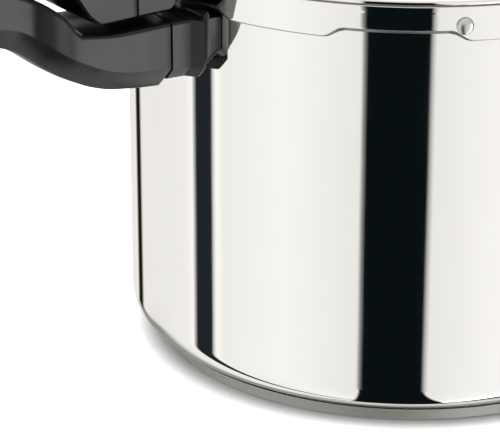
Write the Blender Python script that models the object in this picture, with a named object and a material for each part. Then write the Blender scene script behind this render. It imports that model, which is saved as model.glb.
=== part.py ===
"""Stovetop pressure cooker of about six quarts, as an assembly of separate pieces.

Frame: metres, +Z up, origin on the pot's axis at the underside of its base.
The long handles point along -X and the helper handle along +X.
"""

import math

import bmesh
import bpy
from mathutils import Matrix, Vector

# ---------------------------------------------------------------- driving dimensions
GAP = 0.0003
SHEET = 0.0012
POT_R = 0.1090
POT_TOP = 0.1638
POT_UNDERSIDE = 0.0062
CORNER_R = 0.0110
RING_SIDES = 96
CELL = math.tau / RING_SIDES

LUG_R = 0.1119
LUG_LOW, LUG_HIGH = 0.1550, 0.1586
LUG_COUNT = 8
LUG_PITCH = math.tau / LUG_COUNT
NOTCH_ANGLE = math.radians(183.0)
LUG_ANGLE = NOTCH_ANGLE + LUG_PITCH / 2

BASE_LOW_R, BASE_HIGH_R = 0.0989, 0.1018
CORE_LOW_R, CORE_HIGH_R = 0.0978, 0.1004

SKIRT_R = 0.1135
SKIRT_LOW, NOTCH_LOW = 0.1531, 0.1574
CURL_R = 0.1096
BEAD_R, BEAD_LOW, BEAD_HIGH = 0.1144, 0.1666, 0.1687
LID_TOP = 0.1760
TERRACE_R = 0.1000

VENT_R = 0.0047
VENT_TOP = 0.1961
AIR_VENT_S = 0.0860
PLUG_R, PLUG_ANGLE = 0.0740, math.radians(140.0)
RIVET_ANGLE, RIVET_Z = math.radians(239.9), 0.1593

GRIP_HALF = 0.0180
HANDLE_END_S = 0.2800
BODY_SEAM_S = 0.1244
COVER_SEAM_S = 0.1385
COVER_LOW = 0.1575
SCREW_BODY_S, SCREW_COVER_S = 0.1400, 0.1460
SHANK_HOLE, HEAD_HOLE = 0.0023, 0.0048
BODY_TONGUE_LOW = 0.1410
STRAP_LOW, STRAP_THICK = LID_TOP + 0.0004, 0.0020
POCKET_HALF, POCKET_TOP = 0.0120, 0.1895

HELPER_LOW, HELPER_HIGH = 0.1380, 0.1510
HELPER_SCREW = (0.1180, 0.0140)

PIVOT_S, PIVOT_Z = 0.1100, 0.1817
PIN_S, PIN_LOW, PIN_TOP = 0.1310, 0.1572, 0.1802
LEVER_HALF, LEVER_THICK = 0.0040, 0.0024


# ---------------------------------------------------------------- materials
def material(name, colour, roughness, metallic):
    """A plain Principled material."""
    made = bpy.data.materials.new(name)
    made.use_nodes = True
    shader = made.node_tree.nodes["Principled BSDF"]
    shader.inputs["Base Color"].default_value = (*colour, 1.0)
    shader.inputs["Roughness"].default_value = roughness
    shader.inputs["Metallic"].default_value = metallic
    return made


def clear_scene():
    """Remove whatever the file opened with."""
    for thing in list(bpy.data.objects):
        bpy.data.objects.remove(thing, do_unlink=True)


clear_scene()
MIRROR_STEEL = material("mirror_steel", (0.80, 0.79, 0.77), 0.08, 1.0)
BRUSHED_STEEL = material("brushed_steel", (0.58, 0.58, 0.56), 0.35, 1.0)
BRACKET_STEEL = material("bracket_steel", (0.62, 0.62, 0.60), 0.40, 1.0)
SCREW_STEEL = material("screw_steel", (0.66, 0.66, 0.65), 0.25, 1.0)
CORE_ALUMINIUM = material("core_aluminium", (0.78, 0.79, 0.80), 0.45, 1.0)
PHENOLIC = material("phenolic", (0.012, 0.013, 0.014), 0.38, 0.0)
CAP_PLASTIC = material("cap_plastic", (0.015, 0.015, 0.016), 0.30, 0.0)
BLACK_RUBBER = material("black_rubber", (0.020, 0.020, 0.021), 0.65, 0.0)
GREY_RUBBER = material("grey_rubber", (0.16, 0.16, 0.165), 0.60, 0.0)


# ---------------------------------------------------------------- modelling helpers
def add_object(name, bm, slot, parent=None, origin=(0.0, 0.0, 0.0)):
    """Turn a bmesh drawn in world coordinates into an object with its origin where it's wanted."""
    bmesh.ops.recalc_face_normals(bm, faces=bm.faces)
    mesh = bpy.data.meshes.new(name)
    bm.to_mesh(mesh)
    bm.free()
    mesh.transform(Matrix.Translation(-Vector(origin)))
    mesh.shade_smooth()
    mesh.set_sharp_from_angle(angle=math.radians(32))
    made = bpy.data.objects.new(name, mesh)
    made.data.materials.append(slot)
    bpy.context.scene.collection.objects.link(made)
    made.location = Vector(origin)
    if parent is not None:
        made.parent = parent
        made.location -= parent.location
    return made


def body_empty(name, location=(0.0, 0.0, 0.0)):
    """An empty on a body's joint axis, for its pieces to hang from."""
    made = bpy.data.objects.new(name, None)
    made.location = location
    bpy.context.scene.collection.objects.link(made)
    return made


def grid(rings, closed_profile):
    """A surface through rings of equal length, round an axis; a one-point row becomes a pole."""
    bm = bmesh.new()
    columns = []
    for ring in rings:
        if len(set(tuple(point) for point in ring)) == 1:
            pole = bm.verts.new(ring[0])
            columns.append([pole] * len(ring))
        else:
            columns.append([bm.verts.new(point) for point in ring])
    count = len(columns[0])
    pairs = list(zip(columns, columns[1:]))
    if closed_profile:
        pairs.append((columns[-1], columns[0]))
    for upper, lower in pairs:
        for here in range(count):
            there = (here + 1) % count
            corners = [upper[here], upper[there], lower[there], lower[here]]
            unique = [c for n, c in enumerate(corners) if c not in corners[:n]]
            if len(unique) > 2:
                bm.faces.new(unique)
    return bm


def turned(profile, sides, start=0.0):
    """Turn a profile of (radius, height) points about Z; a function gives one that varies by angle."""
    angles = [start + math.tau * n / sides for n in range(sides)]
    outlines = [profile(a) if callable(profile) else profile for a in angles]
    rings = [
        [(outline[row][0] * math.cos(a), outline[row][0] * math.sin(a), outline[row][1])
         if outline[row][0] > 0 else (0.0, 0.0, outline[row][1])
         for a, outline in zip(angles, outlines)]
        for row in range(len(outlines[0]))
    ]
    on_axis = outlines[0][0][0] == 0 and outlines[0][-1][0] == 0
    return grid(rings, closed_profile=not on_axis)


def turned_piece(name, profile, slot, sides, parent=None, at=(0.0, 0.0), start=0.0):
    """A turned piece whose vertical axis stands at the given x and y."""
    bm = turned(profile, sides, start)
    bm.transform(Matrix.Translation((at[0], at[1], 0.0)))
    return add_object(name, bm, slot, parent, (at[0], at[1], profile[0][1]))


def lofted(sections):
    """Skin a row of closed sections and cap both ends."""
    bm = bmesh.new()
    rows = [[bm.verts.new(point) for point in section] for section in sections]
    count = len(rows[0])
    for near, far in zip(rows, rows[1:]):
        for here in range(count):
            there = (here + 1) % count
            bm.faces.new((near[here], near[there], far[there], far[here]))
    bm.faces.new(rows[0])
    bm.faces.new(list(reversed(rows[-1])))
    return bm


def box(low, high):
    """A box between two corners."""
    bm = bmesh.new()
    middle = (Vector(low) + Vector(high)) / 2
    size = Vector(high) - Vector(low)
    bmesh.ops.create_cube(bm, size=1.0, matrix=Matrix.Translation(middle) @ Matrix.Diagonal((*size, 1.0)))
    return bm


def rod(radius, start, end, sides=16):
    """A cylinder between two points."""
    bm = bmesh.new()
    along = Vector(end) - Vector(start)
    turn = along.to_track_quat("Z", "Y").to_matrix().to_4x4()
    place = Matrix.Translation((Vector(start) + Vector(end)) / 2) @ turn
    bmesh.ops.create_cone(bm, cap_ends=True, segments=sides, radius1=radius, radius2=radius,
                          depth=along.length, matrix=place)
    return bm


def boolean(target, bm, operation, name):
    """Cut a shape from an object, or join one to it."""
    tool = add_object(name, bm, target.data.materials[0])
    tool.hide_render = True
    tool.display_type = "WIRE"
    step = target.modifiers.new(name, "BOOLEAN")
    step.operation = operation
    step.solver = "EXACT"
    step.object = tool


def cut(target, *shapes):
    """Take each shape away from the target."""
    for number, shape in enumerate(shapes):
        boolean(target, shape, "DIFFERENCE", f"cut_{target.name}_{number}")


def join(target, *shapes):
    """Fuse each shape into the target."""
    for number, shape in enumerate(shapes):
        boolean(target, shape, "UNION", f"join_{target.name}_{number}")


def arc(centre, radius, start_deg, end_deg, steps):
    """Points (radius, height) along an arc, both ends included."""
    angles = [math.radians(start_deg + (end_deg - start_deg) * n / steps) for n in range(steps + 1)]
    return [(centre[0] + radius * math.cos(a), centre[1] + radius * math.sin(a)) for a in angles]


def handle_section(s, low, high, half, belly, crown=0.0008, steps=6):
    """A ring across a long handle at distance s: flat sides, rounded belly and crown."""
    turns = [math.pi * n / steps for n in range(steps + 1)]
    under = [(-s, half * math.cos(a), low - belly * math.sin(a)) for a in turns]
    over = [(-s, -half * math.cos(a), high + crown * math.sin(a)) for a in turns]
    return under + over


def trough(floor, lid, half=0.0135):
    """Cutter for a long hollow: floor heights at distances s, and the height where it leaves the grip."""
    ring = ((-half, 0), (half, 0), (half, 1), (-half, 1))
    return lofted([[(-s, y, lid if side else height) for y, side in ring] for s, height in floor])


def rounded_rectangle(middle, half_x, half_y, radius, steps=5):
    """Points round a rectangle with rounded corners."""
    points = []
    for corner, (sx, sy) in enumerate(((1, 1), (-1, 1), (-1, -1), (1, -1))):
        cx = middle[0] + sx * (half_x - radius)
        cy = middle[1] + sy * (half_y - radius)
        points += arc((cx, cy), radius, 90 * corner, 90 * corner + 90, steps)
    return points


def share_in_sector(angle, middle, flat_half, ramp):
    """1 inside a repeating sector, 0 outside it, and a straight ramp between."""
    offset = (angle - middle + LUG_PITCH / 2) % LUG_PITCH - LUG_PITCH / 2
    return min(1.0, max(0.0, (flat_half + ramp - abs(offset)) / ramp))


# ---------------------------------------------------------------- bodies
POT = body_empty("pot")
RACK = body_empty("rack")
SEAL = body_empty("seal")
COVER = body_empty("cover")
REGULATOR = body_empty("regulator", (0.0, 0.0, VENT_TOP))
PLUNGER = body_empty("plunger", (-AIR_VENT_S, 0.0, LID_TOP))
LEVER = body_empty("lever", (-PIVOT_S, 0.0, PIVOT_Z))
PIN = body_empty("pin", (-PIN_S, 0.0, PIN_LOW))


# ---------------------------------------------------------------- pot and base
def pot_outline(angle):
    """The pot's wall at one angle; its rim carries eight lugs."""
    lug_r = POT_R + (LUG_R - POT_R) * share_in_sector(angle, LUG_ANGLE, 1.5 * CELL, CELL)
    corner = (POT_R - CORNER_R, POT_UNDERSIDE + CORNER_R)
    step = 0.0001
    outside = [
        (POT_R, POT_TOP), (POT_R, LUG_HIGH + step), (lug_r, LUG_HIGH), (lug_r, LUG_LOW),
        (POT_R, LUG_LOW - step),
    ]
    outside += arc(corner, CORNER_R, 0, -90, 4)
    inside = arc(corner, CORNER_R - SHEET, -90, 0, 3)
    return (outside + [(0.0, POT_UNDERSIDE), (0.0, POT_UNDERSIDE + SHEET)] + inside
            + [(POT_R - SHEET, POT_TOP)])


def pot_body():
    """Deep-drawn pan, open at the top."""
    bm = turned(pot_outline, RING_SIDES, NOTCH_ANGLE + CELL / 2)
    add_object("pot_body", bm, MIRROR_STEEL, POT)


def base():
    """Aluminium spreader disc inside a thin steel cap with a sloped edge."""
    skin = 0.0009
    core_low, core_high = skin + GAP, POT_UNDERSIDE - GAP
    core = [(0.0, core_high), (CORE_HIGH_R, core_high), (CORE_LOW_R, core_low), (0.0, core_low)]
    turned_piece("base_core", core, CORE_ALUMINIUM, 64, POT)
    cap = [
        (0.0, skin), (CORE_LOW_R + GAP, skin), (CORE_HIGH_R + GAP, POT_UNDERSIDE - 0.0002),
        (BASE_HIGH_R, POT_UNDERSIDE - 0.0002), (BASE_LOW_R, 0.0), (0.0, 0.0),
    ]
    turned_piece("base_cap", cap, BRUSHED_STEEL, 64, POT)


def cooking_rack():
    """Perforated plate with a turned-down rim, resting inside the pot."""
    top, rim_r, thick, foot = 0.0190, 0.0960, 0.0010, POT_UNDERSIDE + SHEET + 0.0006
    hole_r, ring_r, count = 0.0085, 0.0600, 8
    outline = [
        (hole_r, top), (rim_r, top), (rim_r + 0.0015, foot), (rim_r + 0.0005, foot),
        (rim_r - thick, top - thick), (hole_r, top - thick),
    ]
    plate = turned_piece("cooking_rack", outline, CORE_ALUMINIUM, 40, RACK)
    turns = [math.tau * (n + 0.2) / count for n in range(count)]
    places = [(ring_r * math.cos(a), ring_r * math.sin(a)) for a in turns]
    cut(plate, *[rod(hole_r, (x, y, top - 0.005), (x, y, top + 0.005), 12) for x, y in places])


# ---------------------------------------------------------------- lid
def cover_outline(angle):
    """The lid's sheet at one angle: its skirt ends in curled lugs with notches between them."""
    low = NOTCH_LOW + (SKIRT_LOW - NOTCH_LOW) * share_in_sector(angle, LUG_ANGLE, 2.5 * CELL, CELL)
    inner = SKIRT_R - SHEET
    curl = inner - 0.0001 + (CURL_R - inner + 0.0001) * share_in_sector(angle, LUG_ANGLE, 1.5 * CELL, CELL)
    outside = [
        (0.0, LID_TOP + 0.0012), (0.030, LID_TOP + 0.0011), (0.062, LID_TOP), (TERRACE_R, LID_TOP),
        (0.1035, LID_TOP - 0.0015), (0.1062, 0.1706), (0.1085, 0.1696), (0.1118, BEAD_HIGH + 0.0010),
        (0.1138, BEAD_HIGH), (BEAD_R, (BEAD_LOW + BEAD_HIGH) / 2), (0.1138, BEAD_LOW),
        (SKIRT_R, BEAD_LOW - 0.0006), (SKIRT_R, low + 0.0005), (SKIRT_R - 0.0004, low),
    ]
    inside = [
        (curl, low), (curl - 0.00005, low + SHEET), (inner, low + SHEET + 0.0001), (inner, 0.1676),
        (0.1113, 0.1684), (0.1073, 0.1684), (0.1048, 0.1698), (0.1024, LID_TOP - 0.0028),
        (0.0995, LID_TOP - SHEET), (0.0, LID_TOP - SHEET),
    ]
    return outside + inside


def cover_shell():
    """Pressed lid with its vent, plug and rivet holes."""
    shell = add_object("cover_shell", turned(cover_outline, RING_SIDES, NOTCH_ANGLE + CELL / 2),
                       MIRROR_STEEL, COVER)
    plug_x, plug_y = plug_place()
    low, high = LID_TOP - 0.01, LID_TOP + 0.01
    out = Vector((math.cos(RIVET_ANGLE), math.sin(RIVET_ANGLE), 0.0))
    height = Vector((0.0, 0.0, RIVET_Z))
    cut(
        shell,
        rod(VENT_R + 0.0005, (0, 0, low), (0, 0, high)),
        rod(0.0060, (-AIR_VENT_S, 0, low), (-AIR_VENT_S, 0, high)),
        rod(0.0049, (plug_x, plug_y, low), (plug_x, plug_y, high)),
        rod(0.0017, out * (SKIRT_R - 0.003) + height, out * (SKIRT_R + 0.003) + height, 12),
    )


def plug_place():
    """Where the overpressure plug's axis stands."""
    return PLUG_R * math.cos(PLUG_ANGLE), PLUG_R * math.sin(PLUG_ANGLE)


def stop_rivet():
    """Round-headed rivet whose tail stops against a pot lug when the lid is locked."""
    tail, neck, head = SKIRT_R - SHEET - GAP, SKIRT_R + GAP, SKIRT_R + 0.0016
    dome_r = 0.00315
    dome = [(dome_r * math.cos(a), neck + (head - neck) * math.sin(a))
            for a in (math.radians(d) for d in (60, 35, 12, 0))]
    outline = [(0.0, head), *dome, (0.0014, neck), (0.0014, tail), (0.0020, tail),
               (0.0020, tail - 0.0018), (0.0, tail - 0.0018)]
    bm = turned(outline, 16)
    out = Vector((math.cos(RIVET_ANGLE), math.sin(RIVET_ANGLE), 0.0))
    bm.transform(Matrix.Translation((0, 0, RIVET_Z)) @ out.to_track_quat("Z", "Y").to_matrix().to_4x4())
    add_object("stop_rivet", bm, SCREW_STEEL, COVER, (*(out * SKIRT_R).xy, RIVET_Z))


def sealing_ring():
    """Rubber ring between the pot's rim and the lid."""
    low, high = POT_TOP + GAP, POT_TOP + 0.0041
    outer, inner, edge = SKIRT_R - SHEET - 0.0005, 0.1015, 0.0008
    outline = [
        (inner + edge, high - 0.0006), (outer - edge, high), (outer, high - edge), (outer, low + edge),
        (outer - edge, low), (inner, low), (inner, high - 0.0012),
    ]
    turned_piece("sealing_ring", outline, GREY_RUBBER, 48, SEAL)


# ---------------------------------------------------------------- vents and valves
def vent_pipe():
    """Vent pipe through the lid's middle, its washer and its nut, with the regulator that sits on it."""
    seat = LID_TOP + 0.0012 + GAP
    bore = 0.0012
    pipe = [
        (bore, VENT_TOP), (0.0026, VENT_TOP), (0.0032, VENT_TOP - 0.0012), (0.0032, seat + 0.0050),
        (0.0060, seat + 0.0036), (0.0080, seat + 0.0026), (0.0080, seat), (VENT_R, seat),
        (VENT_R, LID_TOP - 0.0085), (bore, LID_TOP - 0.0085),
    ]
    turned_piece("vent_pipe", pipe, SCREW_STEEL, 20, COVER)
    under = LID_TOP - SHEET - GAP
    inner = VENT_R + GAP
    washer = [(inner, under), (0.0086, under), (0.0086, under - 0.0010), (inner, under - 0.0010)]
    turned_piece("vent_washer", washer, BRACKET_STEEL, 20, COVER)
    nut_top, nut_low = under - 0.0010 - GAP, LID_TOP - 0.0072
    flats, flat_share = 6, math.cos(math.pi / 6)
    hole, corner = inner / flat_share, 0.0075 / flat_share
    nut = [(hole, nut_top), (corner, nut_top), (corner, nut_low), (hole, nut_low)]
    turned_piece("vent_nut", nut, SCREW_STEEL, flats, COVER)


def pressure_regulator():
    """Weight that sits on the vent pipe, with a plastic cap."""
    low, waist, top, bore = 0.1835, 0.1905, 0.2060, 0.0037
    weight = [
        (0.0, top), (0.0085, top), (0.0092, top - 0.0006), (0.0095, 0.2040), (0.0138, 0.2032),
        (0.0146, 0.2020), (0.0146, waist + 0.0015), (0.0136, waist), (0.0112, waist - 0.0008),
        (0.0108, low + 0.0006), (0.0102, low), (bore, low), (bore, VENT_TOP + GAP), (0.0, VENT_TOP + GAP),
    ]
    turned_piece("pressure_regulator", weight, MIRROR_STEEL, 24, REGULATOR)
    cap_low, cap_top = top + GAP, 0.2210
    cap = [
        (0.0, cap_top), (0.0085, cap_top), (0.0104, cap_top - 0.0010), (0.0110, cap_top - 0.0028),
        (0.0098, cap_low + 0.0050), (0.0112, cap_low + 0.0014), (0.0108, cap_low), (0.0, cap_low),
    ]
    turned_piece("regulator_cap", cap, CAP_PLASTIC, 24, REGULATOR)


def overpressure_plug():
    """Rubber plug that blows out of the lid if the vent is blocked."""
    above, below = LID_TOP + GAP, LID_TOP - SHEET - GAP
    outline = [
        (0.0, above + 0.0034), (0.0040, above + 0.0029), (0.0066, above + 0.0014), (0.0070, above),
        (0.0045, above), (0.0045, below), (0.0060, below), (0.0052, below - 0.0026), (0.0, below - 0.0030),
    ]
    turned_piece("overpressure_plug", outline, BLACK_RUBBER, 20, COVER, plug_place())


def air_vent():
    """Rubber gasket in the lid with the metal plunger that rises in it under pressure."""
    above, below = LID_TOP + GAP, LID_TOP - SHEET - GAP
    bore, neck, flange = 0.0034, 0.0056, 0.0075
    gasket = [
        (bore, above + 0.0016), (flange - 0.0006, above + 0.0016), (flange, above + 0.0010), (flange, above),
        (neck, above), (neck, below), (flange, below), (flange, below - 0.0020), (bore, below - 0.0020),
    ]
    turned_piece("air_vent_gasket", gasket, BLACK_RUBBER, 20, COVER, (-AIR_VENT_S, 0.0))
    stem, tip, collar, head = 0.0030, 0.0025, 0.0060, 0.0050
    collar_low = above + 0.0024
    plunger = [
        (0.0, 0.1876), (tip - 0.0006, 0.1876), (tip, 0.1870), (tip, collar_low + 0.0015),
        (collar, collar_low + 0.0015), (collar, collar_low), (stem, collar_low), (stem, 0.1672),
        (head, 0.1672), (head, 0.1654), (0.0, 0.1654),
    ]
    turned_piece("air_vent_plunger", plunger, SCREW_STEEL, 16, PLUNGER, (-AIR_VENT_S, 0.0))


# ---------------------------------------------------------------- body handle
def bracket(name, reach, width_half, low, pad_low, pad_high, pad_half, sign, parent):
    """Steel tongue on a pad that is welded to the pot's wall; sign points it along -X or +X."""
    thick, pad_r = 0.0025, POT_R + GAP + 0.0017
    x = sorted((sign * (POT_R + 0.0007), sign * reach))
    tongue = add_object(name, box((x[0], -width_half, low), (x[1], width_half, low + thick)),
                        BRACKET_STEEL, parent)
    x = sorted((sign * 0.1020, sign * pad_r))
    join(tongue, box((x[0], -pad_half, pad_low), (x[1], pad_half, pad_high)))
    cut(tongue, rod(POT_R + GAP, (0, 0, 0.1), (0, 0, 0.2), RING_SIDES))
    return tongue


def body_handle_bracket():
    """Bracket inside the body handle, with a hole for its screw."""
    tongue = bracket("body_handle_bracket", 0.1520, 0.0090, BODY_TONGUE_LOW, 0.1360, 0.1500, 0.0140, -1, POT)
    boolean(tongue, rod(0.0024, (-SCREW_BODY_S, 0, 0.13), (-SCREW_BODY_S, 0, 0.15)), "DIFFERENCE",
            "cut_body_handle_bracket_screw")


def collar_ring(s, low, high):
    """Outline of the collar beside the pot at distance s, between two heights."""
    half, upper, lower = 0.0242, 0.0015, 0.0040
    points = arc((half - lower, low + lower), lower, -90, 0, 3)
    points += arc((half - upper, high - upper), upper, 0, 90, 2)
    points += arc((upper - half, high - upper), upper, 90, 180, 2)
    points += arc((lower - half, low + lower), lower, 180, 270, 3)
    return [(-s, y, z) for y, z in points]


def tongue_slot(reach, low):
    """Room for a bracket's tongue and pad inside a handle piece."""
    thick, room = 0.0025, 0.0004
    return box((-reach - room, -0.0094, low - room), (-0.1000, 0.0094, low + thick + room))


def body_handle_guard():
    """Inner block of the body handle, with a collar that fits round the pot below the lid's skirt."""
    belly = 0.0052
    widths = ((0.1050, 0.0236), (0.1140, 0.0232), (0.1190, 0.0207), (BODY_SEAM_S - GAP, 0.0182))
    block = lofted([handle_section(s, 0.1330, 0.1520, half, belly) for s, half in widths])
    guard = add_object("body_handle_guard", block, PHENOLIC, POT)
    outward = (
        (0.1045, 0.1342, 0.1560), (0.1118, 0.1332, 0.1568), (0.1130, 0.1330, 0.1558),
        (0.1142, 0.1330, 0.1535),
    )
    join(guard, lofted([collar_ring(*station) for station in outward]))
    cut(
        guard,
        rod(POT_R + GAP, (0, 0, 0.10), (0, 0, 0.20), RING_SIDES),
        rod(0.1152, (0, 0, 0.1524), (0, 0, 0.20), RING_SIDES),
        tongue_slot(0.1300, BODY_TONGUE_LOW),
        box((-POT_R - 0.0025, -0.0144, 0.1356), (-0.1000, 0.0144, 0.1504)),
    )


def long_grip(name, stations, belly, crown, parent):
    """A long grip skinned through its stations."""
    return add_object(name, lofted([handle_section(*station, belly, crown) for station in stations]),
                      PHENOLIC, parent)


def body_handle():
    """Lower grip, hollowed from above, with the socket for the lock pin."""
    tip = HANDLE_END_S
    stations = [
        (BODY_SEAM_S + GAP, 0.1330, 0.1520, GRIP_HALF), (0.134, 0.1340, 0.1520, GRIP_HALF),
        (0.147, 0.1360, 0.1520, GRIP_HALF), (0.155, 0.1390, 0.1530, GRIP_HALF),
        (0.160, 0.1415, 0.1540, 0.0177), (0.163, 0.1430, 0.1560, 0.0175),
        (0.167, 0.1455, 0.1610, 0.0173), (0.172, 0.1490, 0.1655, 0.0171),
        (0.179, 0.1545, 0.1700, 0.0176), (0.186, 0.1595, 0.1735, 0.0183),
        (0.195, 0.1620, 0.1758, 0.0185), (0.215, 0.1630, 0.1768, 0.0178),
        (0.245, 0.1635, 0.1773, 0.0168), (tip - 0.012, 0.1640, 0.1778, 0.0172),
        (tip - 0.004, 0.1655, 0.1772, 0.0145), (tip, 0.1690, 0.1755, 0.0090),
    ]
    grip = long_grip("body_handle", stations, 0.0080, 0.0008, POT)
    cut(
        grip,
        tongue_slot(0.1520, BODY_TONGUE_LOW),
        rod(SHANK_HOLE, (-SCREW_BODY_S, 0, 0.1300), (-SCREW_BODY_S, 0, 0.1485)),
        rod(HEAD_HOLE, (-SCREW_BODY_S, 0, 0.1250), (-SCREW_BODY_S, 0, 0.1368)),
        rod(0.0032, (-PIN_S, 0, 0.1470), (-PIN_S, 0, 0.1560)),
        trough([(0.158, 0.1552), (0.168, 0.1580), (0.180, 0.1630), (0.195, 0.1665), (0.266, 0.1680)], 0.1900),
    )


def screw(name, x, y, head_low, tip_z, parent, head_r=0.0042):
    """Domed screw driven upwards, its head at the bottom."""
    shank_r, head = 0.0019, 0.0026
    outline = [
        (0.0, tip_z), (shank_r - 0.0006, tip_z), (shank_r, tip_z - 0.0008), (shank_r, head_low + head),
        (head_r, head_low + head), (head_r, head_low + 0.0010), (head_r * 0.7, head_low), (0.0, head_low),
    ]
    turned_piece(name, outline, SCREW_STEEL, 16, parent, (x, y))


# ---------------------------------------------------------------- helper handle
def helper_handle():
    """Short loop handle opposite the long one, its bracket and two screws."""
    outer = rounded_rectangle((0.13265, 0.0), 0.02135, 0.0380, 0.0150)
    slot = rounded_rectangle((0.13375, 0.0), 0.00975, 0.0240, 0.0080)
    edge = 0.0020
    rings = []
    for outline, neighbour, heights in (
        (outer, slot, (HELPER_LOW, HELPER_LOW + edge, HELPER_HIGH - edge, HELPER_HIGH)),
        (slot, outer, (HELPER_HIGH, HELPER_HIGH - edge, HELPER_LOW + edge, HELPER_LOW)),
    ):
        for row, height in enumerate(heights):
            inset = edge if row in (0, 3) else 0.0
            rings.append([drawn_towards(point, other, inset, height)
                          for point, other in zip(outline, neighbour)])
    loop = add_object("helper_handle", grid(rings, closed_profile=True), PHENOLIC, POT)
    tongue_low, reach = 0.1436, 0.1220
    x, y = HELPER_SCREW
    cut(
        loop,
        box((0.1000, -0.0204, tongue_low - 0.0004), (reach + 0.0004, 0.0204, tongue_low + 0.0029)),
        *[rod(0.0023, (x, side * y, 0.1300), (x, side * y, 0.1492)) for side in (-1, 1)],
        *[rod(0.0045, (x, side * y, 0.1300), (x, side * y, 0.1414)) for side in (-1, 1)],
    )
    tongue = bracket("helper_handle_bracket", reach, 0.0200, tongue_low, 0.1385, 0.1505, 0.0200, 1, POT)
    for side in (-1, 1):
        boolean(tongue, rod(0.0023, (x, side * y, 0.13), (x, side * y, 0.15)), "DIFFERENCE",
                f"cut_helper_handle_bracket_screw_{side + 1}")
    screw("helper_screw_right", x, -y, 0.1385, 0.1488, POT, 0.0040)
    screw("helper_screw_left", x, y, 0.1385, 0.1488, POT, 0.0040)


def drawn_towards(point, other, inset, height):
    """A point moved by inset towards another, at a height."""
    away = Vector(other) - Vector(point)
    moved = Vector(point) + away.normalized() * inset
    return (moved.x, moved.y, height)


# ---------------------------------------------------------------- cover handle
def cover_handle_bracket():
    """Strap welded on the lid that carries the cover handle, slotted where the lever swings."""
    strap = add_object(
        "cover_handle_bracket",
        box((-0.1520, -0.0090, STRAP_LOW), (-0.0950, 0.0090, STRAP_LOW + STRAP_THICK)), BRACKET_STEEL, COVER)
    low, high = STRAP_LOW - 0.005, STRAP_LOW + 0.005
    cut(
        strap,
        box((-0.1365, -0.0055, low), (-0.1165, 0.0055, high)),
        rod(0.0024, (-SCREW_COVER_S, 0, low), (-SCREW_COVER_S, 0, high)),
    )


def strap_slot(near, far):
    """Room for the strap in a wall of the cover handle."""
    room = 0.0004
    return box((-far, -0.0094, STRAP_LOW - room), (-near, 0.0094, STRAP_LOW + STRAP_THICK + room))


def cover_handle_guard():
    """Inner block of the cover handle: it reaches over the lid and houses the lock."""
    over, beside = LID_TOP + 0.0016, 0.1718
    stations = [
        (0.0750, over + 0.0010, 0.1885, 0.0135), (0.0780, over, 0.1908, 0.0166),
        (0.0840, over, 0.1918, GRIP_HALF), (0.1040, over, 0.1924, GRIP_HALF),
        (0.1105, over, 0.1928, GRIP_HALF), (0.1128, beside, 0.1929, GRIP_HALF),
        (0.1226, beside, 0.1931, GRIP_HALF), (0.1230, 0.1592, 0.1931, GRIP_HALF),
        (0.1244, COVER_LOW, 0.1931, GRIP_HALF), (COVER_SEAM_S - 0.0002, COVER_LOW, 0.1935, GRIP_HALF),
    ]
    guard = long_grip("cover_handle_guard", stations, 0.0006, 0.0008, COVER)
    cut(
        guard,
        box((-0.1212, -POCKET_HALF, 0.1600), (-0.0775, POCKET_HALF, POCKET_TOP)),
        box((-0.1365, -POCKET_HALF, 0.1612), (-0.1205, POCKET_HALF, POCKET_TOP)),
        rod(0.0023, (-PIN_S, 0, 0.1500), (-PIN_S, 0, 0.1650)),
        strap_slot(0.1300, 0.1450),
        rod(0.0045, (-AIR_VENT_S, 0, 0.1850), (-AIR_VENT_S, 0, 0.1980)),
        rod(0.0015, (-PIVOT_S, -0.0165, PIVOT_Z), (-PIVOT_S, 0.0165, PIVOT_Z)),
    )


def cover_handle():
    """Upper grip."""
    tip = HANDLE_END_S
    stations = [
        (COVER_SEAM_S + 0.0002, COVER_LOW, 0.1935, GRIP_HALF), (0.1530, COVER_LOW, 0.1941, GRIP_HALF),
        (0.1557, 0.1589, 0.1942, GRIP_HALF), (0.1587, 0.1620, 0.1943, GRIP_HALF),
        (0.1607, 0.1650, 0.1944, GRIP_HALF), (0.1628, 0.1682, 0.1946, GRIP_HALF),
        (0.1680, 0.1745, 0.1950, GRIP_HALF), (0.1740, 0.1790, 0.1957, GRIP_HALF),
        (0.1840, 0.1808, 0.1968, GRIP_HALF), (0.2000, 0.1813, 0.1980, GRIP_HALF),
        (0.2200, 0.1816, 0.1986, 0.0173), (0.2450, 0.1818, 0.1990, 0.0168),
        (tip - 0.012, 0.1820, 0.1990, 0.0172), (tip - 0.004, 0.1830, 0.1975, 0.0145),
        (tip, 0.1855, 0.1945, 0.0090),
    ]
    grip = long_grip("cover_handle", stations, 0.0006, 0.0018, COVER)
    x = -SCREW_COVER_S
    cut(
        grip,
        strap_slot(0.1300, 0.1524),
        rod(SHANK_HOLE, (x, 0, 0.1500), (x, 0, 0.1850)),
        rod(HEAD_HOLE, (x, 0, 0.1500), (x, 0, 0.1632)),
        trough([(0.158, 0.1900), (0.175, 0.1925), (0.200, 0.1945), (0.266, 0.1950)], 0.1500),
    )


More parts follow.
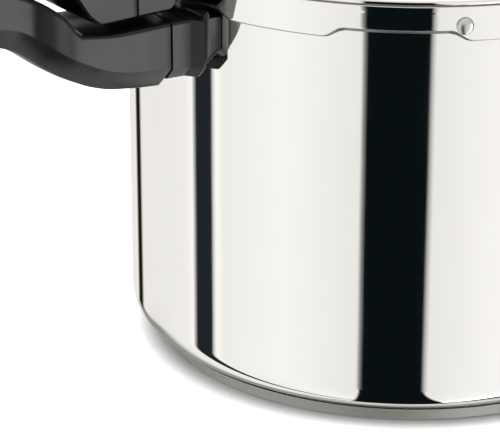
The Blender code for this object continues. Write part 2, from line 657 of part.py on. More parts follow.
# ---------------------------------------------------------------- cover lock
def lock_lever():
    """Rocking lever between the plunger and the lock pin, and the axle it turns on."""
    under, inner_s, outer_s = PIVOT_Z - LEVER_THICK / 2, 0.0893, 0.1325
    lever = add_object(
        "lock_lever",
        box((-outer_s, -LEVER_HALF, under), (-inner_s, LEVER_HALF, under + LEVER_THICK)),
        BRACKET_STEEL, LEVER, (-PIVOT_S, 0.0, PIVOT_Z))
    hub_half = LEVER_HALF + 0.001
    join(lever, rod(0.0030, (-PIVOT_S, -hub_half, PIVOT_Z), (-PIVOT_S, hub_half, PIVOT_Z)))
    boolean(lever, rod(0.0015, (-PIVOT_S, -0.0080, PIVOT_Z), (-PIVOT_S, 0.0080, PIVOT_Z)), "DIFFERENCE",
            "cut_lock_lever_bore")
    axle_half = 0.0161
    add_object("lever_axle", rod(0.0012, (-PIVOT_S, -axle_half, PIVOT_Z), (-PIVOT_S, axle_half, PIVOT_Z), 12),
               SCREW_STEEL, COVER, (-PIVOT_S, 0.0, PIVOT_Z))


def lock_pin():
    """Headed pin that drops into the body handle while there is pressure."""
    stem, head, head_low = 0.0020, 0.0035, PIN_TOP - 0.0018
    outline = [
        (0.0, PIN_TOP), (head, PIN_TOP), (head, head_low), (stem, head_low), (stem, PIN_LOW + 0.0006),
        (stem - 0.0006, PIN_LOW), (0.0, PIN_LOW),
    ]
    turned_piece("lock_pin", outline, SCREW_STEEL, 16, PIN, (-PIN_S, 0.0))


def lock_pin_spring():
    """Open coil round the lock pin's stem that lifts the pin back."""
    wire_r, coil_r, low, high = 0.0004, 0.0030, 0.1620, PIN_TOP - 0.0026
    turns, per_turn = 5, 9
    count = turns * per_turn
    curve = bpy.data.curves.new("lock_pin_spring", "CURVE")
    curve.dimensions = "3D"
    curve.bevel_depth = wire_r
    curve.bevel_resolution = 1
    curve.use_fill_caps = True
    coil = curve.splines.new("POLY")
    coil.points.add(count)
    for n, point in enumerate(coil.points):
        angle = math.tau * n / per_turn
        point.co = (coil_r * math.cos(angle), coil_r * math.sin(angle), (high - low) * n / count, 1.0)
    spring = bpy.data.objects.new("lock_pin_spring", curve)
    spring.data.materials.append(SCREW_STEEL)
    spring.parent = COVER
    spring.location = (-PIN_S, 0.0, low)
    bpy.context.scene.collection.objects.link(spring)


# ---------------------------------------------------------------- assembly
pot_body()
base()
cooking_rack()
cover_shell()
stop_rivet()
sealing_ring()
vent_pipe()
pressure_regulator()
overpressure_plug()
air_vent()
body_handle_bracket()
body_handle_guard()
body_handle()
screw("body_handle_screw", -SCREW_BODY_S, 0.0, 0.1332, 0.1480, POT)
helper_handle()
cover_handle_bracket()
cover_handle_guard()
cover_handle()
screw("cover_handle_screw", -SCREW_COVER_S, 0.0, 0.1598, 0.1840, COVER)
lock_lever()
lock_pin()
lock_pin_spring()
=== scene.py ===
import math

import bmesh
import bpy
import numpy as np
from mathutils import Matrix, Vector


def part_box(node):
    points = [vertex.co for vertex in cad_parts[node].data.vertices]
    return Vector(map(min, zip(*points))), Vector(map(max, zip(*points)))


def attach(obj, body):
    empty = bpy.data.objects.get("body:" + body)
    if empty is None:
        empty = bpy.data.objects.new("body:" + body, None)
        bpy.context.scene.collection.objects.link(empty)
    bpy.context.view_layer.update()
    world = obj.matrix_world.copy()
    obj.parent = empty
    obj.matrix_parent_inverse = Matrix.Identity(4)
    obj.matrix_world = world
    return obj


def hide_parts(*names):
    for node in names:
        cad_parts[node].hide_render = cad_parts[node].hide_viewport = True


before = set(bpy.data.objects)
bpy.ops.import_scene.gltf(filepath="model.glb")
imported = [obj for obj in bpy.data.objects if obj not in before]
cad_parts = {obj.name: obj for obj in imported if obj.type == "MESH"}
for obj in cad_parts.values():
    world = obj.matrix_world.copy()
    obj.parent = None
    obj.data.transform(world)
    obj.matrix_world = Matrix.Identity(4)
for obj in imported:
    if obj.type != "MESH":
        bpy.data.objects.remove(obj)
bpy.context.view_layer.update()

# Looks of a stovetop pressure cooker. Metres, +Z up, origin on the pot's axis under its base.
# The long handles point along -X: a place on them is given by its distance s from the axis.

# ---------------------------------------------------------------- sizes, from the frame or the same as the CAD's
SHEET = 0.0012
GAP = 0.0003
POT_LOW, POT_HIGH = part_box("pot_body")
POT_TOP, POT_UNDERSIDE = POT_HIGH.z, POT_LOW.z
POT_R = 0.1090
CORNER_R = 0.0110
LUG_R = 0.1119
LUG_LOW, LUG_HIGH = 0.1550, 0.1586
LUG_PITCH = math.tau / 8
LUG_ANGLE = math.radians(205.5)
CELL = math.tau / 96
FINE_SIDES = 384
SHARP_ANGLE = math.radians(38.0)

SKIRT_R = 0.1135
SKIRT_LOW, NOTCH_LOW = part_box("cover_shell")[0].z, 0.1574
CURL_R = 0.1096
BEAD_R, BEAD_MID, BEAD_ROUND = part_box("cover_shell")[1].x, 0.16765, 0.00105
LID_TOP = 0.1760
CREASE_Z = 0.1636
EDGE_MIDDLE, CREVICE_MIDDLE = 0.1560, 0.16630
VENT_R, VENT_TOP = 0.0047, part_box("vent_pipe")[1].z
AIR_VENT_S = 0.0860
PLUG_AT = (0.0740 * math.cos(math.radians(140.0)), 0.0740 * math.sin(math.radians(140.0)))
RIVET_ANGLE, RIVET_Z = math.radians(239.9), 0.1590
RIVET_WAY = Vector((math.cos(RIVET_ANGLE), math.sin(RIVET_ANGLE), 0.0))

GRIP_HALF = 0.0180
TIP_S = -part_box("body_handle")[0].x
NOSE = 0.0140
BODY_SEAM_S, COVER_SEAM_S = 0.1244, 0.1385
COVER_LOW = 0.1575
SCREW_BODY_S, SCREW_COVER_S = 0.1400, 0.1460
SHANK_HOLE, HEAD_HOLE = 0.0023, 0.0048
PIVOT_S, PIVOT_Z = 0.1100, 0.1817
PIN_S, PIN_LOW, PIN_TOP = 0.1310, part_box("lock_pin")[0].z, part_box("lock_pin")[1].z
TONGUE_LOW, TONGUE_THICK = 0.1410, 0.0025
STRAP_LOW, STRAP_THICK = LID_TOP + 0.0004, 0.0020

# ---------------------------------------------------------------- studio
CEILING_POWER = 6.2
CAMERA_SIDE = 230.0
DARK_GAP, GREY_GROUND = (0.0035, 0.0065, 0.0080), (0.33, 0.33, 0.31)
# Bearings are degrees from the camera's side of the studio, towards the long handle's side.
LOW_PANELS = [
    (-180.0, (0.80, 0.80, 0.80)), (-140.0, (0.92, 0.92, 0.92)), (-106.0, (0.75, 0.76, 0.77)),
    (-100.0, (0.03, 0.035, 0.035)), (-79.0, (0.03, 0.035, 0.035)), (-76.5, (4.3, 4.4, 4.4)),
    (-58.0, (4.1, 4.2, 4.2)), (-55.0, (1.25, 1.26, 1.26)), (-36.0, (1.15, 1.16, 1.16)),
    (-14.0, (1.03, 1.04, 1.04)), (-10.4, (1.01, 1.02, 1.01)), (-9.0, DARK_GAP), (16.5, DARK_GAP),
    (17.8, (1.02, 1.03, 1.02)), (50.0, (1.16, 1.18, 1.17)), (79.0, (1.07, 1.08, 1.06)),
    (82.5, (1.25, 1.25, 1.25)), (84.0, (1.1, 1.1, 1.1)), (85.5, (0.017, 0.022, 0.028)),
    (95.0, (0.017, 0.022, 0.028)), (96.6, (1.22, 1.22, 1.22)), (101.0, (1.07, 1.08, 1.06)),
    (137.0, (1.0, 1.0, 1.0)), (141.6, (0.98, 0.97, 0.95)), (142.6, (0.016, 0.011, 0.005)),
    (148.6, (0.016, 0.011, 0.005)), (149.8, (0.97, 0.96, 0.94)), (180.0, (0.80, 0.80, 0.80)),
]
HIGH_PANELS = [
    (-180.0, (0.010, 0.011, 0.012)), (-118.0, (0.010, 0.011, 0.012)), (-106.0, (0.45, 0.45, 0.45)),
    (-90.0, (0.75, 0.76, 0.77)), (-20.0, (0.95, 0.96, 0.97)), (90.0, (0.90, 0.91, 0.92)),
    (108.0, (0.45, 0.45, 0.45)), (118.0, (0.010, 0.011, 0.012)), (180.0, (0.010, 0.011, 0.012)),
]


# ---------------------------------------------------------------- node helpers
def add_node(tree, kind, inputs=None, **settings):
    """A node with its settings, and inputs given as values or as sockets to link."""
    made = tree.nodes.new("ShaderNode" + kind)
    for name, value in settings.items():
        setattr(made, name, value)
    for name, value in (inputs or {}).items():
        if isinstance(value, bpy.types.NodeSocket):
            tree.links.new(value, made.inputs[name])
        else:
            made.inputs[name].default_value = value
    return made


def maths(tree, operation, *values):
    """A Math node's result."""
    return add_node(tree, "Math", dict(enumerate(values)), operation=operation).outputs[0]


def scaled(tree, vector, scale):
    """A vector multiplied by a scale for each axis."""
    made = add_node(tree, "VectorMath", {0: vector, 1: scale}, operation="MULTIPLY")
    return made.outputs["Vector"]


def noise(tree, vector, scale, detail=3.0, roughness=0.5):
    """Noise from 0 to 1."""
    inputs = {"Vector": vector, "Scale": scale, "Detail": detail, "Roughness": roughness}
    made = add_node(tree, "TexNoise", inputs)
    return made.outputs[0]


def spread(tree, value, low, high, from_low=0.3, from_high=0.7):
    """A noise value mapped onto a range."""
    made = add_node(tree, "MapRange", {0: value, 1: from_low, 2: from_high, 3: low, 4: high})
    return made.outputs[0]


def blend_colour(tree, share, dark, light):
    """A mix of two colours."""
    made = add_node(tree, "Mix", {0: share, 6: (*dark, 1.0), 7: (*light, 1.0)}, data_type="RGBA")
    return made.outputs[2]


def tint(tree, share, colour, other):
    """A node's colour blended towards a fixed one."""
    return add_node(tree, "Mix", {0: share, 6: colour, 7: (*other, 1.0)}, data_type="RGBA").outputs[2]


def height_of(tree, vector):
    """A vector's Z."""
    return add_node(tree, "SeparateXYZ", {0: vector}).outputs["Z"]


def bumps(tree, *layers):
    """Bump layers (height, distance), one over another."""
    normal = None
    for height, distance in layers:
        inputs = {"Height": height, "Distance": distance, "Strength": 1.0}
        if normal is not None:
            inputs["Normal"] = normal
        normal = add_node(tree, "Bump", inputs).outputs[0]
    return normal


def finish_material(name, metallic, constants, recipe):
    """A Principled material whose colour, roughness and normal come from a recipe's nodes."""
    made = bpy.data.materials.new(name)
    made.use_nodes = True
    tree = made.node_tree
    shader = tree.nodes["Principled BSDF"]
    shader.inputs["Metallic"].default_value = metallic
    for socket, value in constants.items():
        shader.inputs[socket].default_value = value
    place = add_node(tree, "TexCoord").outputs["Object"]
    colour, roughness, normal = recipe(tree, place)
    tree.links.new(colour, shader.inputs["Base Color"])
    tree.links.new(roughness, shader.inputs["Roughness"])
    tree.links.new(normal, shader.inputs["Normal"])
    return made


def round_axis(tree, place, along, across):
    """A place in which noise runs in long streaks round the Z axis."""
    flat = scaled(tree, place, (1.0, 1.0, 0.0))
    heading = add_node(tree, "VectorMath", {0: flat}, operation="NORMALIZE").outputs["Vector"]
    reach = add_node(tree, "VectorMath", {0: flat}, operation="LENGTH").outputs["Value"]
    height = height_of(tree, place)
    level = maths(tree, "MULTIPLY", maths(tree, "ADD", reach, height), across)
    level = add_node(tree, "CombineXYZ", {"Z": level}).outputs[0]
    heading = scaled(tree, heading, (along, along, 0.0))
    return add_node(tree, "VectorMath", {0: heading, 1: level}, operation="ADD").outputs["Vector"]


# ---------------------------------------------------------------- materials
def painted_edge_reflection_and_crevice_shade(tree, place):
    """1 on the lid's sheared edges, which face down, and in the crevice under its bead; 0 elsewhere. A greyer
    colour painted there stands in for the floor's reflection on the edges and for shade in the crevice.
    """
    height = height_of(tree, place)
    facing = height_of(tree, add_node(tree, "NewGeometry").outputs["Normal"])
    from_edge = maths(tree, "ABSOLUTE", maths(tree, "SUBTRACT", height, EDGE_MIDDLE))
    edge = maths(tree, "MULTIPLY", spread(tree, from_edge, 1.0, 0.0, 0.0038, 0.0042),
                 spread(tree, facing, 1.0, 0.0, -0.45, -0.30))
    from_crevice = maths(tree, "ABSOLUTE", maths(tree, "SUBTRACT", height, CREVICE_MIDDLE))
    return maths(tree, "MAXIMUM", edge, spread(tree, from_crevice, 1.0, 0.0, 0.00032, 0.00048))


def mirror_steel(tree, place):
    """Polished stainless steel: faint waviness, hairlines from the polishing wheel, rougher sheared edges, and a
    greyer colour painted as the floor's reflection on those edges and as shade in the crevice under the bead.
    """
    hairline = noise(tree, round_axis(tree, place, 4.0, 2600.0), 1.0, 4.0)
    cloud = noise(tree, place, 38.0)
    colour = blend_colour(tree, cloud, (0.785, 0.760, 0.735), (0.815, 0.790, 0.765))
    roughness = maths(tree, "ADD", spread(tree, cloud, 0.022, 0.040), spread(tree, hairline, -0.006, 0.010))
    # Painted light: a greyer colour stands in for the floor's reflection on the lid's downward edges and for
    # shade in the crevice under the bead.
    painted_edge_and_crevice_share = painted_edge_reflection_and_crevice_shade(tree, place)
    painted_reflection_and_shade_colour, dull_roughness = (0.46, 0.44, 0.40), 0.38
    colour = tint(tree, painted_edge_and_crevice_share, colour, painted_reflection_and_shade_colour)
    roughness = maths(tree, "ADD", roughness, maths(tree, "MULTIPLY", painted_edge_and_crevice_share, dull_roughness))
    return colour, roughness, bumps(tree, (noise(tree, place, 26.0, 1.0), 0.00003), (hairline, 0.0000006))


def brushed_steel(tree, place):
    """Steel brushed in rings."""
    streaks = noise(tree, round_axis(tree, place, 3.0, 1500.0), 1.0, 5.0, 0.6)
    colour = blend_colour(tree, spread(tree, streaks, 0.0, 1.0), (0.34, 0.345, 0.31), (0.43, 0.43, 0.39))
    roughness = spread(tree, streaks, 0.42, 0.54)
    return colour, roughness, bumps(tree, (streaks, 0.00002))


def bracket_steel(tree, place):
    """Rolled sheet steel with a satin grain along X."""
    grain = noise(tree, scaled(tree, place, (60.0, 1400.0, 1400.0)), 1.0, 4.0)
    cloud = noise(tree, place, 90.0)
    colour = blend_colour(tree, cloud, (0.50, 0.49, 0.47), (0.66, 0.65, 0.63))
    roughness = maths(tree, "ADD", spread(tree, cloud, 0.28, 0.38), spread(tree, grain, -0.03, 0.05))
    return colour, roughness, bumps(tree, (grain, 0.00001))


def screw_steel(tree, place):
    """Turned and plated steel."""
    tool_marks = noise(tree, scaled(tree, place, (300.0, 300.0, 4200.0)), 1.0, 2.0)
    cloud = noise(tree, place, 260.0)
    colour = blend_colour(tree, cloud, (0.50, 0.49, 0.47), (0.60, 0.59, 0.57))
    roughness = maths(tree, "ADD", spread(tree, cloud, 0.22, 0.30), spread(tree, tool_marks, -0.02, 0.05))
    return colour, roughness, bumps(tree, (tool_marks, 0.000004))


def aluminium(tree, place):
    """Spun aluminium, duller than the steel."""
    rings = noise(tree, round_axis(tree, place, 2.0, 900.0), 1.0, 4.0)
    cloud = noise(tree, place, 55.0)
    colour = blend_colour(tree, cloud, (0.72, 0.73, 0.74), (0.82, 0.83, 0.84))
    roughness = maths(tree, "ADD", spread(tree, cloud, 0.34, 0.44), spread(tree, rings, -0.03, 0.05))
    return colour, roughness, bumps(tree, (rings, 0.00001))


def phenolic(tree, place):
    """Black moulded phenolic: a fine orange peel and patches polished by hands."""
    peel = noise(tree, place, 1500.0, 2.0)
    cloud = noise(tree, place, 45.0, 4.0)
    speck = noise(tree, place, 3800.0, 1.0)
    colour = blend_colour(tree, spread(tree, speck, 0.0, 1.0), (0.0028, 0.0031, 0.0033),
                          (0.0052, 0.0056, 0.0058))
    roughness = maths(tree, "ADD", spread(tree, cloud, 0.15, 0.21), spread(tree, peel, -0.01, 0.01))
    return colour, roughness, bumps(tree, (cloud, 0.00003), (peel, 0.0000018))


def cap_plastic(tree, place):
    """Black plastic with a fine spark-eroded texture."""
    texture = noise(tree, place, 2200.0, 3.0)
    cloud = noise(tree, place, 150.0)
    colour = blend_colour(tree, cloud, (0.010, 0.010, 0.011), (0.016, 0.016, 0.017))
    return colour, spread(tree, texture, 0.28, 0.42), bumps(tree, (texture, 0.000012))


def rubber(dark, light):
    """A recipe for moulded rubber between two colours."""
    def recipe(tree, place):
        bloom = noise(tree, place, 110.0, 5.0)
        grain = noise(tree, place, 1900.0, 2.0)
        colour = blend_colour(tree, bloom, dark, light)
        return colour, spread(tree, bloom, 0.50, 0.68), bumps(tree, (grain, 0.000015))
    return recipe


FINISHES = {
    "mirror_steel": finish_material("mirror_steel_fine", 1.0, {}, mirror_steel),
    "brushed_steel": finish_material("brushed_steel_fine", 1.0, {"Anisotropic": 0.35}, brushed_steel),
    "bracket_steel": finish_material("bracket_steel_fine", 1.0, {}, bracket_steel),
    "screw_steel": finish_material("screw_steel_fine", 1.0, {}, screw_steel),
    "core_aluminium": finish_material("core_aluminium_fine", 1.0, {}, aluminium),
    "phenolic": finish_material("phenolic_fine", 0.0, {"IOR": 1.36}, phenolic),
    "cap_plastic": finish_material("cap_plastic_fine", 0.0, {"IOR": 1.50}, cap_plastic),
    "black_rubber": finish_material("black_rubber_fine", 0.0, {},
                                    rubber((0.014, 0.014, 0.015), (0.026, 0.026, 0.027))),
    "grey_rubber": finish_material("grey_rubber_fine", 0.0, {},
                                   rubber((0.13, 0.13, 0.135), (0.19, 0.19, 0.195))),
}


# ---------------------------------------------------------------- mesh helpers
def new_object(name, bm):
    """An object in the scene made from a bmesh."""
    mesh = bpy.data.meshes.new(name)
    bm.to_mesh(mesh)
    bm.free()
    made = bpy.data.objects.new(name, mesh)
    bpy.context.scene.collection.objects.link(made)
    return made


def piece(name, bm, slot, body, *nodes):
    """Make a bmesh drawn in the frame into a piece that rides on a body and stands for CAD nodes."""
    bmesh.ops.recalc_face_normals(bm, faces=bm.faces)
    made = new_object(name, bm)
    made.data.shade_smooth()
    made.data.set_sharp_from_angle(angle=SHARP_ANGLE)
    made.data.materials.append(FINISHES[slot])
    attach(made, body)
    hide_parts(*nodes)
    return made


def combine(bm, *steps):
    """Booleans on a bmesh: each step is a bmesh to cut away, or an operation and a bmesh to use it with."""
    def as_object(shape):
        bmesh.ops.recalc_face_normals(shape, faces=shape.faces)
        return new_object("temporary", shape)

    steps = [step if isinstance(step, tuple) else ("DIFFERENCE", step) for step in steps]
    target = as_object(bm)
    tools = [as_object(shape) for _, shape in steps]
    for (operation, _), tool in zip(steps, tools):
        step = target.modifiers.new("combine", "BOOLEAN")
        step.operation = operation
        step.solver = "EXACT"
        step.object = tool
    seen = target.evaluated_get(bpy.context.evaluated_depsgraph_get())
    result = bmesh.new()
    result.from_mesh(seen.data)
    for used in [target, *tools]:
        mesh = used.data
        bpy.data.objects.remove(used)
        bpy.data.meshes.remove(mesh)
    return result


def grid(rings, closed_profile):
    """A surface through rings of equal length; a row that is one point becomes a pole."""
    bm = bmesh.new()
    columns = []
    for ring in rings:
        if max(abs(a - b) for a, b in zip(ring[0], ring[len(ring) // 2])) < 1e-7:
            columns.append([bm.verts.new(ring[0])] * len(ring))
        else:
            columns.append([bm.verts.new(point) for point in ring])
    pairs = list(zip(columns, columns[1:]))
    if closed_profile:
        pairs.append((columns[-1], columns[0]))
    count = len(columns[0])
    for upper, lower in pairs:
        for here in range(count):
            there = (here + 1) % count
            corners = [upper[here], upper[there], lower[there], lower[here]]
            unique = [c for n, c in enumerate(corners) if c not in corners[:n]]
            if len(unique) > 2:
                bm.faces.new(unique)
    return bm


def turned(profile, sides=96, at=(0.0, 0.0), start=0.0):
    """Turn a profile of (radius, height) about an upright axis; a function gives one for each angle."""
    angles = [start + math.tau * n / sides for n in range(sides)]
    outlines = [profile(a) if callable(profile) else profile for a in angles]
    rings = [
        [(at[0] + o[row][0] * math.cos(a), at[1] + o[row][0] * math.sin(a), o[row][1])
         for a, o in zip(angles, outlines)]
        for row in range(len(outlines[0]))
    ]
    on_axis = outlines[0][0][0] == 0 and outlines[0][-1][0] == 0
    return grid(rings, closed_profile=not on_axis)


def lofted(sections):
    """Skin a row of closed sections and cap both ends."""
    bm = bmesh.new()
    rows = [[bm.verts.new(point) for point in section] for section in sections]
    count = len(rows[0])
    for near, far in zip(rows, rows[1:]):
        for here in range(count):
            there = (here + 1) % count
            bm.faces.new((near[here], near[there], far[there], far[here]))
    bm.faces.new(rows[0])
    bm.faces.new(list(reversed(rows[-1])))
    return bm


def box(low, high):
    """A box between two corners, as a tool for combine."""
    (x0, y0, z0), (x1, y1, z1) = low, high
    return lofted([[(x, y0, z0), (x, y1, z0), (x, y1, z1), (x, y0, z1)] for x in (x0, x1)])


def slab(plan, low, high):
    """A flat plate with an outline, between two heights."""
    return lofted([[(x, y, z) for x, y in plan] for z in (low, high)])


def rod(radius, start, end, sides=48):
    """A round bar between two points."""
    along = Vector(end) - Vector(start)
    turn = along.to_track_quat("Z", "Y").to_matrix().to_4x4()
    ring = [(radius * math.cos(math.tau * n / sides), radius * math.sin(math.tau * n / sides))
            for n in range(sides)]
    bm = slab(ring, 0.0, along.length)
    bm.transform(Matrix.Translation(Vector(start)) @ turn)
    return bm


def post(radius, x, y, low, high, sides=48):
    """An upright round bar."""
    return rod(radius, (x, y, low), (x, y, high), sides)


def arc(centre, radius, start_deg, end_deg, steps):
    """Points along an arc, both ends included."""
    angles = [math.radians(start_deg + (end_deg - start_deg) * n / steps) for n in range(steps + 1)]
    return [(centre[0] + radius * math.cos(a), centre[1] + radius * math.sin(a)) for a in angles]


def filleted(corners, steps=5, hold=0.0004):
    """Round the corners (x, y, fillet) of a path, and hold its straight runs straight with extra points."""
    closed = corners[0][0] != 0 or corners[-1][0] != 0
    places = [Vector(corner[:2]) for corner in corners]
    last = len(corners) - 1
    ends = []
    for n, (here, corner) in enumerate(zip(places, corners)):
        if not closed and n in (0, last):
            ends.append((here, here, [here]))
            continue
        before, after = places[n - 1], places[(n + 1) % len(places)]
        reach = min(corner[2], 0.45 * (here - before).length, 0.45 * (after - here).length)
        near = here + (before - here).normalized() * reach
        far = here + (after - here).normalized() * reach
        turns = [n / steps for n in range(steps + 1)] if corner[2] else [0.5]
        ends.append((near, far, [(1 - t) ** 2 * near + 2 * t * (1 - t) * here + t * t * far for t in turns]))
    path = []
    for n, (_, far, points) in enumerate(ends):
        path += [tuple(p) for p in points]
        if n == last and not closed:
            break
        run = ends[(n + 1) % len(ends)][0] - far
        if run.length > 3 * hold:
            path += [tuple(far + run * (hold / run.length)), tuple(far + run * (1 - hold / run.length))]
    return path


def share_in_sector(angle, flat_half, ramp):
    """1 inside each lug's sector, 0 between lugs, and a soft ramp from one to the other."""
    offset = (angle - LUG_ANGLE + LUG_PITCH / 2) % LUG_PITCH - LUG_PITCH / 2
    share = min(1.0, max(0.0, (flat_half + ramp - abs(offset)) / ramp))
    return share * share * (3 - 2 * share)


def eased(stations, count):
    """Stations (s, value, value ...) filled in along smooth curves that don't overshoot."""
    table = np.array(stations)
    s = table[:, 0]
    wanted = np.linspace(s[0], s[-1], count)
    width = np.diff(s)
    k = np.clip(np.searchsorted(s, wanted, "right") - 1, 0, len(s) - 2)
    t = (wanted - s[k]) / width[k]
    columns = [wanted]
    for values in table[:, 1:].T:
        slope = np.diff(values) / width
        tangent = np.concatenate([slope[:1], np.zeros(len(s) - 2), slope[-1:]])
        same = slope[:-1] * slope[1:] > 0
        before, after = slope[:-1][same], slope[1:][same]
        tangent[1:-1][same] = 2 * before * after / (before + after)
        columns.append(
            (1 + 2 * t) * (1 - t) ** 2 * values[k] + t * (1 - t) ** 2 * width[k] * tangent[k]
            + t * t * (3 - 2 * t) * values[k + 1] + t * t * (t - 1) * width[k] * tangent[k + 1])
    return [tuple(float(v) for v in row) for row in np.stack(columns, 1)]


def softened(stations, radius):
    """Stations (s, value, value ...) joined by straight runs with rounded corners."""
    tracks = []
    for column in range(1, len(stations[0])):
        path = [Vector((row[0], row[column])) for row in stations]
        track = [path[0]]
        for before, here, after in zip(path, path[1:], path[2:]):
            reach = min(radius, 0.45 * (here - before).length, 0.45 * (after - here).length)
            near = here + (before - here).normalized() * reach
            far = here + (after - here).normalized() * reach
            track += [(1 - t) ** 2 * near + 2 * t * (1 - t) * here + t * t * far
                      for t in (0, 0.2, 0.4, 0.6, 0.8, 1)]
        tracks.append(track + [path[-1]])
    places = sorted({round(p.x, 7) for track in tracks for p in track})
    return [(s, *(float(np.interp(s, [p.x for p in t], [p.y for p in t])) for t in tracks)) for s in places]


def grip_ring(s, low, high, half, belly, crown, edge, inset=0.0):
    """A ring across a handle at distance s: chamfered underside, flat sides, bowed top with rounded edges."""
    low, high, half = low + inset, high - inset, half - inset
    edge = min(edge, 0.42 * (high - low), 0.42 * half)
    flat = half - edge
    over = 2 * crown / flat * edge
    chamfer = min(0.80 * belly, 0.6 * half)
    slope = [(half - chamfer * t, low - belly * (0.86 * t + 0.10 * t * (1 - t)))
             for t in (n / 8 for n in range(9))]
    foot = half - chamfer
    slope += [(foot * math.cos(a), low - belly * (0.86 + 0.14 * math.sin(a)))
              for a in (math.pi / 2 * n / 6 for n in range(1, 6))]
    under = [(-y, z) for y, z in slope] + [(0.0, low - belly)] + list(reversed(slope))
    hold = min(0.0005, 0.15 * (high - low))
    under.append((half, low + hold))
    shoulder = [(half, high - over - edge - 0.5 * hold)]
    shoulder += [bezier((half, high - over - edge), (half, high - over), (flat, high), n / 6)
                 for n in range(6)]
    top = [(flat * n / 7, high + crown * (1 - (n / 7) ** 2)) for n in range(7, -8, -1)]
    other = [(-y, z) for y, z in reversed(shoulder)] + [(-half, low + hold)]
    return [(-s, y, z) for y, z in under + shoulder + top + other]


def bezier(start, middle, end, t):
    """A point on a quadratic curve."""
    return tuple((1 - t) ** 2 * a + 2 * t * (1 - t) * b + t * t * c for a, b, c in zip(start, middle, end))


def grip(stations, belly, crown, edge, near_round, nose):
    """A long handle piece: its near end has a small radius, its far end a nose or the same radius."""
    rows = []
    first, last = stations[0], stations[-1]
    for turn in (0.0, 0.3, 0.6):
        s = first[0] + near_round * (1 - math.cos(turn * math.pi / 2))
        inset = near_round * (1 - math.sin(turn * math.pi / 2))
        rows.append(grip_ring(s, *first[1:], belly, crown, edge, inset))
    rows += [grip_ring(*row, belly, crown, edge) for row in stations if first[0] + near_round <= row[0]]
    if nose:
        low, high, half = last[1:]
        middle = 0.52 * low + 0.48 * high
        for n in range(1, 15):
            a = math.radians(88) * n / 14
            across, up = math.cos(a) ** 0.78, math.cos(a) ** 0.55
            rows.append(grip_ring(last[0] + nose * math.sin(a), middle + (low - middle) * up,
                                  middle + (high - middle) * up, half * across, belly * across,
                                  crown * across, edge))
    else:
        rows = [row for row in rows if -row[0][0] <= last[0] - near_round]
        for turn in (0.6, 0.3, 0.0):
            s = last[0] - near_round * (1 - math.cos(turn * math.pi / 2))
            inset = near_round * (1 - math.sin(turn * math.pi / 2))
            rows.append(grip_ring(s, *last[1:], belly, crown, edge, inset))
    return lofted(rows)


def trough(floor, mouth, half=0.0135, round_r=0.0020, lip=0.0007, up=1.0):
    """Cutter for a long hollow with rounded bottom edges and a flared lip, open at the surface mouth(s)."""
    rows = []
    for s, level in floor:
        edge = mouth(s)
        side = [(half - round_r + x, level + up * (round_r - z))
                for x, z in arc((0.0, 0.0), round_r, 90, 0, 6)]
        side += [(half + lip * (1 - math.cos(a)), edge - up * lip * (1 - math.sin(a)))
                 for a in (math.pi / 2 * n / 4 for n in range(5))]
        side.append((half + lip, edge + up * 0.02))
        rows.append([(-s, y, z) for y, z in side] + [(-s, -y, z) for y, z in reversed(side)])
    return lofted(rows)


def read_at(stations, column):
    """A function that reads one column of stations at any distance s."""
    s = [row[0] for row in stations]
    values = [row[column] for row in stations]
    return lambda place: float(np.interp(place, s, values))


def rounded_rectangle(middle, half_x, half_y, radius, steps=8):
    """Points round a rectangle with rounded corners."""
    points = []
    for corner, (sx, sy) in enumerate(((1, 1), (-1, 1), (-1, -1), (1, -1))):
        centre = (middle[0] + sx * (half_x - radius), middle[1] + sy * (half_y - radius))
        points += arc(centre, radius, 90 * corner, 90 * corner + 90, steps)
    return points


# ---------------------------------------------------------------- pot, base and rack
def pot_body():
    """Deep-drawn pan with a rounded rim and eight lugs."""
    lug_round, straight_end = 0.0009, 0.0002
    bend_top, wall_levels = POT_UNDERSIDE + CORNER_R + 0.0008, (0.040, 0.080, 0.120)
    path_top, path_low = LUG_HIGH + 0.0026, LUG_LOW - 0.0030
    inner = [(0.0, POT_UNDERSIDE + SHEET), (0.060, POT_UNDERSIDE + SHEET)]
    inner += arc((POT_R - CORNER_R, POT_UNDERSIDE + CORNER_R), CORNER_R - SHEET, -90, 0, 16)
    inner += [(POT_R - SHEET, z) for z in (bend_top, *wall_levels, 0.150, POT_TOP - 0.0009)]
    rim = arc((POT_R - SHEET / 2, POT_TOP - SHEET / 2), SHEET / 2, 180, 0, 8)
    lug_path = filleted([
        (POT_R, path_top, straight_end), (POT_R, LUG_HIGH + 0.0004, lug_round), (LUG_R, LUG_HIGH, lug_round),
        (LUG_R - 0.0002, LUG_LOW, lug_round), (POT_R, LUG_LOW - 0.0006, lug_round),
        (POT_R, path_low, straight_end),
    ], 6)
    lug_path = [p for p in lug_path if path_low <= p[1] <= path_top]
    lug_path = [p for n, p in enumerate(lug_path) if n == 0 or p[1] < lug_path[n - 1][1] - 1e-6]
    wall = [(POT_R, z) for z in (0.148, *reversed(wall_levels), bend_top)]
    corner = arc((POT_R - CORNER_R, POT_UNDERSIDE + CORNER_R), CORNER_R, 0, -90, 24)
    under = [(0.0960, POT_UNDERSIDE), (0.060, POT_UNDERSIDE), (0.0, POT_UNDERSIDE)]

    def outline(angle):
        share = share_in_sector(angle, 1.5 * CELL, CELL)
        lugs = [(POT_R + (r - POT_R) * share, z) for r, z in lug_path]
        return inner + rim + lugs + wall + corner + under

    piece("pot_shell", turned(outline, FINE_SIDES, start=LUG_ANGLE), "mirror_steel", "pot", "pot_body")


